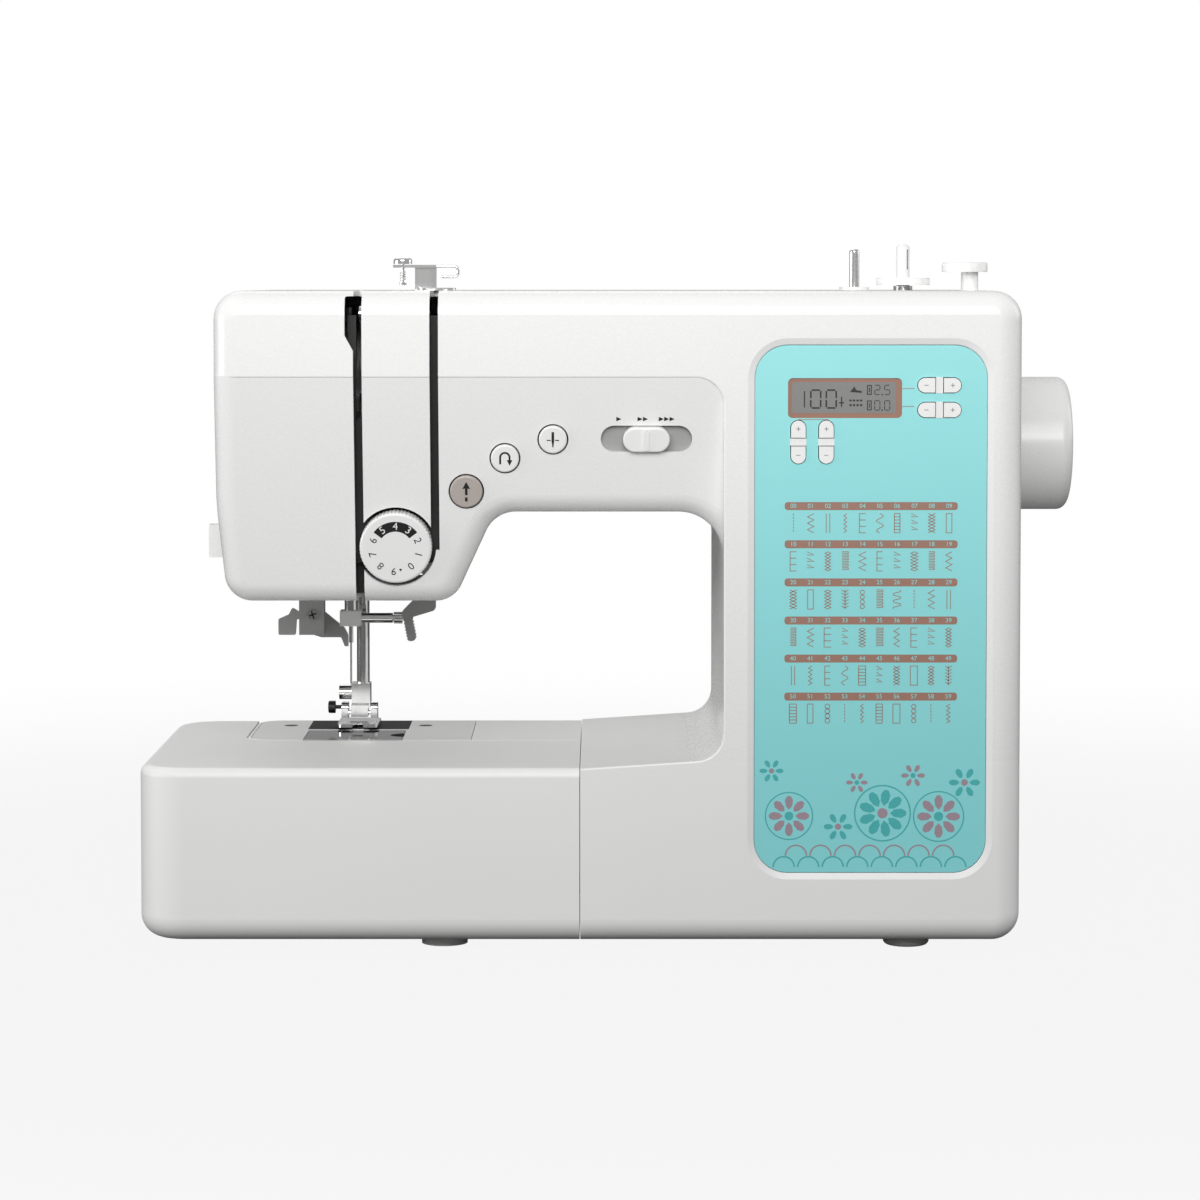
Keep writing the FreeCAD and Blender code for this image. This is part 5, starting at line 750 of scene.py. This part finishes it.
def segments(figure, at, size):
    # seven bars of one figure
    lit = {"0": "abcdef", "2": "abged", "5": "afgcd"}[figure]
    w, h = size
    x, z = at
    t = h * 0.09
    bars = {
        "a": ((x, z + h / 2), (w - t, t)), "g": ((x, z), (w - t, t)), "d": ((x, z - h / 2), (w - t, t)),
        "f": ((x - w / 2, z + h / 4), (t, h / 2 - t)), "b": ((x + w / 2, z + h / 4), (t, h / 2 - t)),
        "e": ((x - w / 2, z - h / 4), (t, h / 2 - t)), "c": ((x + w / 2, z - h / 4), (t, h / 2 - t)),
    }
    return [roundedBar(*bars[name], t * 0.3, 2) for name in lit]


def displayFace():
    left, right, bottom, top = [display[side] * mm for side in ("left", "right", "bottom", "top")]
    glass = flatMesh("displayGlass", [roundedBar(((left + right) / 2, (bottom + top) / 2),
                                                 (right - left, top - bottom), display["corner"] * mm)])
    glass.transform(Matrix.Translation((0, displayY - display["lift"][0] * mm, 0)))
    meshPiece("displayGlass", glass, "displayGrey", "machine")
    thin, thick = display["thin"] * mm, display["thick"] * mm
    largeSize, smallSize, dash = scaled([display[key] for key in ("largeSize", "smallSize", "dash")])
    shapes = []
    for x in display["largeX"]:
        shapes += segments("0", (x * mm, display["largeZ"] * mm), largeSize)
    for text, z in display["smallRows"].items():
        for figure, x in zip(text, display["smallX"]):
            shapes += segments(figure, (x * mm, z * mm), smallSize)
        shapes.append(disc(scaled([display["point"]], z)[0], display["pointRadius"] * mm, 8))
        shapes += ribbon(scaled(display["frame"], z), thin, True)
        shapes += ribbon(scaled(display["tick"], z), thin)
    for line in [display["one"]] + display["needle"]:
        shapes += ribbon(scaled(line), thick)
    shapes.append(scaled(display["foot"]))
    for step in range(display["dashCount"]):
        x = display["dashLeft"] + step * display["dashStep"]
        for at in scaled([(x, z) for z in display["dashRows"]]):
            shapes.append(roundedBar(at, dash, display["dashCorner"] * mm, 1))
    marks = flatMesh("displayMarks", shapes)
    marks.transform(Matrix.Translation((0, displayY - display["lift"][1] * mm, 0)))
    meshPiece("displayMarks", marks, "inkDark", "machine")


displayFace()

leads = {"width": 0.3, "rows": (242.5, 234.9), "span": (119.9, 124.9),
         "bracket": [(75.6, 224.6), (75.6, 229.3), (88.2, 229.3), (88.2, 224.6)]}


def panelLeads():
    shapes = []
    for z in leads["rows"]:
        shapes += ribbon(scaled([(x, z) for x in leads["span"]]), leads["width"] * mm)
    shapes += ribbon(scaled(leads["bracket"]), leads["width"] * mm)
    mesh = flatMesh("panelLeads", shapes)
    mesh.transform(Matrix.Translation((0, panelY - inkLift, 0)))
    meshPiece("panelLeads", mesh, "inkBrown", "machine")


panelLeads()

keySigns = {"line": 0.32, "half": 0.9, "offset": 5.6}


def keyMark(body, plus, minus):
    low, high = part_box(body)
    shapes = []
    for (x, z), sign in ((plus, "+"), (minus, "-")):
        half = keySigns["half"] * mm
        shapes += ribbon([(x - half, z), (x + half, z)], keySigns["line"] * mm)
        if sign == "+":
            shapes += ribbon([(x, z - half), (x, z + half)], keySigns["line"] * mm)
    mesh = flatMesh(body + "Sign", shapes)
    mesh.transform(Matrix.Translation((0, low.y - inkLift, 0)))
    meshPiece(body + "Sign", mesh, "inkGrey", body)


def keyMarks():
    offset = keySigns["offset"] * mm
    for body in ("width_key", "length_key", "tens_key", "units_key"):
        low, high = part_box(body)
        x, z = (low.x + high.x) / 2, (low.z + high.z) / 2
        if body in ("width_key", "length_key"):
            keyMark(body, (x + offset, z), (x - offset, z))
        else:
            keyMark(body, (x, z + offset), (x, z - offset))


keyMarks()
print("display and keys marked")


# marks on the leaning face

# the same lift carries the painted shade of the button rings
markLift = 0.05  # of print off the face it lies on, in mm


def slopePiece(name, shapes, x, z, lift, ink, body, slot):
    mesh = flatMesh(name, shapes)
    mesh.transform(onSlope(x * mm, z * mm, lift * mm))
    return meshPiece(name, mesh, ink, body)


# ring: width of the dark ring of painted gap shade round each button
buttonFace = {"proud": 1.4, "start": (-66.0, 198.3), "reverse": (-49.4, 212.6), "needle": (-28.9, 220.7),
              "radii": {"start": 7.35, "reverse": 6.35, "needle": 6.35}, "ring": 0.3}


def buttonSigns():
    lift = buttonFace["proud"] + markLift
    # dark rings round the three buttons: painted shade in the gaps between each button and the face
    rings = []
    for name, radius in buttonFace["radii"].items():
        outer = radius + buttonFace["ring"]
        outline = flatMesh("ring", bandOf((0, 0), radius * mm, outer * mm, 0, 2 * math.pi, 40))
        outline.transform(onSlope(*[value * mm for value in buttonFace[name]], markLift * mm))
        rings.append(outline)
    meshPiece("buttonRings", joinMeshes("buttonRings", rings), "inkDark", "machine")
    arrow = [[(0, 4.4), (1.7, 1.2), (0.55, 1.5), (0.55, -1.4), (-0.55, -1.4), (-0.55, 1.5), (-1.7, 1.2)],
             [(-0.55, -2.4), (0.55, -2.4), (0.55, -4.2), (-0.55, -4.2)]]
    slopePiece("startSign", [scaled(s) for s in arrow], *buttonFace["start"], lift, "inkDark",
               "start_stop_button", "taupe_button")
    bend = [(-2.0, -2.4), (-2.0, 0.6)] + disc((0, 0.6), 2.0, 10, math.pi, 0)[1:] + [(2.0, -0.6)]
    shapes = ribbon(scaled(bend), 0.8 * mm)
    shapes.append(scaled([(2.0, -3.0), (3.2, -0.6), (0.8, -0.6)]))
    slopePiece("reverseSign", shapes, *buttonFace["reverse"], lift, "inkDark", "reverse_button",
               "white_button")
    shapes = ribbon(scaled([(-2.6, -0.2), (-0.9, -0.2)]), 0.45 * mm)
    shapes += ribbon(scaled([(0.9, -0.2), (2.6, -0.2)]), 0.45 * mm)
    shapes.append(scaled([(-0.55, 3.4), (-0.55, -0.6), (-0.2, -3.2), (0.2, -3.2), (0.55, -0.6), (0.55, 3.4)]))
    slopePiece("needleSign", shapes, *buttonFace["needle"], lift, "inkDark", "needle_position_button",
               "white_button")


buttonSigns()

speedMarks = {"z": 229.4, "places": (-0.7, 9.5, 19.7), "size": 2.3}


def speedSigns():
    shapes = []
    size = speedMarks["size"]
    for count, x in enumerate(speedMarks["places"], 1):
        for step in range(count):
            left = x + (step - count / 2) * size
            shapes.append(scaled([(left, size * 0.42), (left + size * 0.95, 0), (left, -size * 0.42)]))
    slopePiece("speedSigns", shapes, 0, speedMarks["z"], markLift, "inkDark", "machine", "black_plastic")


speedSigns()

dialFace = {"at": (-96.4, 174.2), "proud": 3.2, "step": 35.0, "figure": 4.6, "ringFigure": 10.6,
            "window": (7.4, 11.7), "windowHalf": 53.0, "inWindow": 45.0, "inset": {True: 1.0, False: 0.6},
            "dotRadius": 0.5, "dotTurn": 282.25, "dotRing": 9.6}


def dialFigures():
    # figures stand on a circle, 4 on top, rising to the left
    figures = {True: [], False: []}
    for figure in range(10):
        lean = (figure - 4) * dialFace["step"]
        turn = math.radians(lean + 90)
        shown = abs(lean) < dialFace["inWindow"]
        radius = dialFace["ringFigure"] - dialFace["inset"][shown]
        mesh = words(str(figure), dialFace["figure"] * mm)
        mesh.transform(Matrix.Translation((radius * mm * math.cos(turn), 0, radius * mm * math.sin(turn)))
                       @ Matrix.Rotation(math.radians(-lean), 4, "Y"))
        figures[shown].append(mesh)
    at = [value * mm for value in dialFace["at"]]
    place = onSlope(*at, (dialFace["proud"] + markLift) * mm)
    lifted = onSlope(*at, (dialFace["proud"] + 2 * markLift) * mm)
    dark = joinMeshes("dialFigures", figures[False])
    dark.transform(place)
    meshPiece("dialFigures", dark, "inkDark", "tension_dial")
    pale = joinMeshes("dialFiguresPale", figures[True])
    pale.transform(lifted)
    meshPiece("dialFiguresPale", pale, "inkWhite", "tension_dial")
    half = math.radians(dialFace["windowHalf"])
    inner, outer = dialFace["window"]
    window = flatMesh("dialWindow", bandOf((0, 0), inner * mm, outer * mm, math.pi / 2 - half,
                                           math.pi / 2 + half, 24))
    window.transform(place)
    meshPiece("dialWindow", window, "inkDark", "tension_dial")
    turn = math.radians(dialFace["dotTurn"])
    ring = dialFace["dotRing"] * mm
    spot = flatMesh("dialDot", [disc((ring * math.cos(turn), ring * math.sin(turn)),
                                     dialFace["dotRadius"] * mm, 10)])
    spot.transform(place)
    meshPiece("dialDot", spot, "inkDark", "tension_dial")


dialFigures()
print("dial, buttons and speed marks printed")

bobbinThread = {"centre": (-121.2, 28.5), "steps": 26, "outer": 8.3, "layers": 3,
                "layerStep": 0.5, "thread": 0.27, "pitch": 2.05, "flange": 1.3}


def bobbinWinding():
    low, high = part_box("bobbin")
    layers = []
    room = high.z - low.z - 2 * bobbinThread["flange"] * mm
    for layer in range(bobbinThread["layers"]):
        radius = (bobbinThread["outer"] - layer * bobbinThread["layerStep"]) * mm
        mesh = grow("windingOf", {"Turns": room / (bobbinThread["pitch"] * bobbinThread["thread"] * mm),
                                  "Steps": bobbinThread["steps"], "Inner": radius, "Outer": radius,
                                  "Height": room, "Thread": bobbinThread["thread"] * mm,
                                  "Finish": finishes["threadIvory"]})
        layers.append(mesh)
    mesh = joinMeshes("bobbinThread", layers)
    mesh.transform(Matrix.Translation((bobbinThread["centre"][0] * mm, bobbinThread["centre"][1] * mm,
                                       low.z + bobbinThread["flange"] * mm)))
    meshPiece("bobbinThread", mesh, "threadIvory", "bobbin")


bobbinWinding()
print("bobbin wound")


# small fittings, and a black sheet of painted shade

def blockMesh(name, low, high):
    mesh = bpy.data.meshes.new(name)
    work = bmesh.new()
    bmesh.ops.create_cube(work, size=1.0)
    size = [b - a for a, b in zip(low, high)]
    middle = [(a + b) / 2 for a, b in zip(low, high)]
    bmesh.ops.transform(work, matrix=Matrix.LocRotScale(middle, None, size), verts=work.verts)
    work.to_mesh(mesh)
    work.free()
    return mesh


def studMesh(name, at, radius, top, height):
    # a low round head that faces the operator, narrower at its front
    mesh = bpy.data.meshes.new(name)
    work = bmesh.new()
    bmesh.ops.create_cone(work, cap_ends=True, segments=32, radius1=radius, radius2=top, depth=height)
    turn = Matrix.Translation(at) @ Matrix.Rotation(math.pi / 2, 4, "X")
    bmesh.ops.transform(work, matrix=turn, verts=work.verts)
    work.to_mesh(mesh)
    work.free()
    return mesh


# slot: width of the painted-shade strokes of the cross slot; reach: their half length
threaderScrew = {"at": (-142.1, 43.5, 133.5), "radius": 2.9, "top": 2.3, "height": 1.2, "slot": 0.7,
                 "reach": 1.9}


def threaderScrewHead():
    x, y, z = [value * mm for value in threaderScrew["at"]]
    head = studMesh("threaderScrew", (x, y, z), threaderScrew["radius"] * mm, threaderScrew["top"] * mm,
                    threaderScrew["height"] * mm)
    meshPiece("threaderScrew", head, "polishedMetal", "needle_threader")
    reach = threaderScrew["reach"] * mm
    # a dark cross on the flat head: the screw's cross slot, its recess drawn as painted shade
    cross = []
    for lean in (math.radians(20), math.radians(110)):
        across, up = reach * math.cos(lean), reach * math.sin(lean)
        cross += ribbon([(x - across, z - up), (x + across, z + up)], threaderScrew["slot"] * mm)
    slot = flatMesh("threaderSlot", cross)
    slot.transform(Matrix.Translation((0, y - threaderScrew["height"] * mm / 2 - inkLift, 0)))
    meshPiece("threaderSlot", slot, "inkDark", "needle_threader")


threaderScrewHead()

slotShade = {"left": -118.0, "right": -106.5, "bottom": 153.0, "top": 170.0, "y": -62.0}


# a black sheet behind the low part of the left slot: painted shade where the lit inside of the head would
# show
def slotBacking():
    corners = [(slotShade[x] * mm, slotShade[z] * mm)
               for x, z in (("left", "bottom"), ("right", "bottom"), ("right", "top"), ("left", "top"))]
    sheet = flatMesh("slotBacking", [corners])
    sheet.transform(Matrix.Translation((0, slotShade["y"] * mm, 0)))
    meshPiece("slotBacking", sheet, "blackMoulded", "machine")


slotBacking()

knurl = {"ribs": 72, "width": 0.42, "proud": 0.16, "edge": 0.5}


def knurlRing(name, body, node, radius, bottom, top):
    low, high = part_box(node)
    middle = (low + high) / 2
    width, proud, edge = [knurl[key] * mm for key in ("width", "proud", "edge")]
    rib = sourceOf(blockMesh("rib", (-proud, -width / 2, bottom + edge), (proud, width / 2, top - edge)))
    mesh = grow("ringOf", {"Source": rib, "Count": knurl["ribs"], "Radius": radius,
                           "Finish": finishes["buttonWhite"]})
    dropSource(rib)
    mesh.transform(Matrix.Translation((middle.x, middle.y, 0)))
    meshPiece(name, mesh, "buttonWhite", body)


winderSeat = {"bottom": 286.4 * mm, "top": 289.5 * mm, "radius": 11.8 * mm}
winderDisc = {"bottom": 292.2 * mm, "top": 296.4 * mm, "radius": 10.0 * mm}
knurlRing("winderKnurl", "bobbin_winder", "bobbin_winder", winderSeat["radius"], winderSeat["bottom"],
          winderSeat["top"])
knurlRing("stopKnurl", "machine", "bobbin_winder_stop", winderDisc["radius"], winderDisc["bottom"],
          winderDisc["top"])

spindleSpring = {"x": (1.5, 2.1), "y": (-2.5, -1.9), "z": (-11.0, -2.2)}


def winderSpring():
    low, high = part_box("bobbin_winder")
    middle = (low + high) / 2
    spans = [[base + value * mm for value in spindleSpring[key]]
             for key, base in (("x", middle.x), ("y", middle.y), ("z", high.z))]
    mesh = blockMesh("spindleSpring", [span[0] for span in spans], [span[1] for span in spans])
    meshPiece("spindleSpring", mesh, "darkSteel", "bobbin_winder")


winderSpring()

coverLip = {"depth": 1.1, "proud": 0.12}


def bobbinCoverLip():
    low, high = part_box("bobbin_cover")
    mesh = blockMesh("coverLip", (low.x, low.y, high.z - coverLip["proud"] * mm),
                     (high.x, low.y + coverLip["depth"] * mm, high.z + coverLip["proud"] * mm))
    meshPiece("coverLip", mesh, "polishedMetal", "bobbin_cover")


bobbinCoverLip()
print("small fittings set")


# stage, light and camera

studio = {"floor": 12.0, "sink": 0.0004, "glow": 0.90, "nearGlow": 0.35, "farGlow": 1.1, "cloth": 0.12,
          "world": 0.42}
white = (1, 1, 1, 1)


def floorFinish():
    bench = Bench("floorPale")
    straight, through = bench.rays("Camera", "Transmission")
    glowing = bench.add("ShaderNodeEmission", None, {"Color": white, "Strength": 1.0})
    grey = studio["cloth"]
    cloth = bench.add("ShaderNodeBsdfDiffuse", None, {"Color": (grey, grey, grey, 1)})
    share = bench.add("ShaderNodeMath", {"operation": "MINIMUM"}, {0: straight + through, 1: 1.0})
    away = bench.add("ShaderNodeVectorMath", {"operation": "LENGTH"}, {0: bench.place()}, 1)
    glow = studio["glow"] + bench.fade(away, studio["nearGlow"], studio["farGlow"]) * (1 - studio["glow"])
    mixed = bench.add("ShaderNodeMixShader", None, {0: share * glow, 1: cloth, 2: glowing})
    bench.add("ShaderNodeOutputMaterial", None, {"Surface": mixed})
    return bench.material


def buildFloor():
    half = studio["floor"] / 2
    mesh = bpy.data.meshes.new("floor")
    mesh.from_pydata([(x * half, y * half, -studio["sink"]) for x, y in ((-1, -1), (1, -1), (1, 1), (-1, 1))],
                     [], [(0, 1, 2, 3)])
    mesh.materials.append(floorFinish())
    floor = bpy.data.objects.new("floor", mesh)
    scene.collection.objects.link(floor)


def buildWorld():
    scene.world = bpy.data.worlds.new("studioWorld")
    bench = Bench("studioWorld", scene.world)
    lit = bench.add("ShaderNodeBackground", None, {"Color": white, "Strength": studio["world"]})
    backdrop = bench.add("ShaderNodeBackground", None, {"Color": white})
    mixed = bench.add("ShaderNodeMixShader", None, {0: bench.rays("Camera")[0], 1: lit, 2: backdrop})
    bench.add("ShaderNodeOutputWorld", None, {"Surface": mixed})


lamps = {  # place, aim, size, power and, for a narrow one, spread
    "keyLamp": ((-0.15, -1.5, 0.9), (0, 0, 0.2), (1.2, 0.7), 15.4),
    "leftLamp": ((-2.0, -0.4, 0.28), (0, 0, 0.15), (1.0, 0.45), 10.5),
    "rightLamp": ((2.0, 0.5, 0.8), (0, 0, 0.15), (1.0, 1.0), 7.0),
    "backLamp": ((-0.3, 1.5, 1.5), (0, 0, 0.15), (1.2, 0.8), 5.0),
    "beamLamp": ((0.05, -1.7, 0.62), (0.03, -0.09, 0.31), (1.0, 0.06), 0.17, math.radians(18)),
}


def softLamp(name, at, aim, size, power, spread=math.pi):
    lamp = bpy.data.lights.new(name, "AREA")
    lamp.shape = "RECTANGLE"
    lamp.size, lamp.size_y = size
    lamp.energy = power
    lamp.spread = spread
    holder = bpy.data.objects.new(name, lamp)
    holder.location = at
    holder.rotation_euler = (Vector(aim) - Vector(at)).to_track_quat("-Z", "Y").to_euler()
    scene.collection.objects.link(holder)


view = {"lens": 105.9, "at": (-8.8, -1589.0, 288.6), "pitch": 2.66, "shiftY": -0.13}


def buildCamera():
    data = bpy.data.cameras.new("camera")
    data.lens = view["lens"]
    data.sensor_width = 36.0
    data.shift_y = view["shiftY"]
    data.clip_end = 50
    camera = bpy.data.objects.new("camera", data)
    camera.location = [value * mm for value in view["at"]]
    camera.rotation_euler = (math.radians(90 - view["pitch"]), 0, 0)
    scene.collection.objects.link(camera)
    scene.camera = camera


buildFloor()
buildWorld()
for name, lamp in lamps.items():
    softLamp(name, *lamp)
buildCamera()
scene.view_settings.view_transform = "Standard"
print("stage, light and camera set")
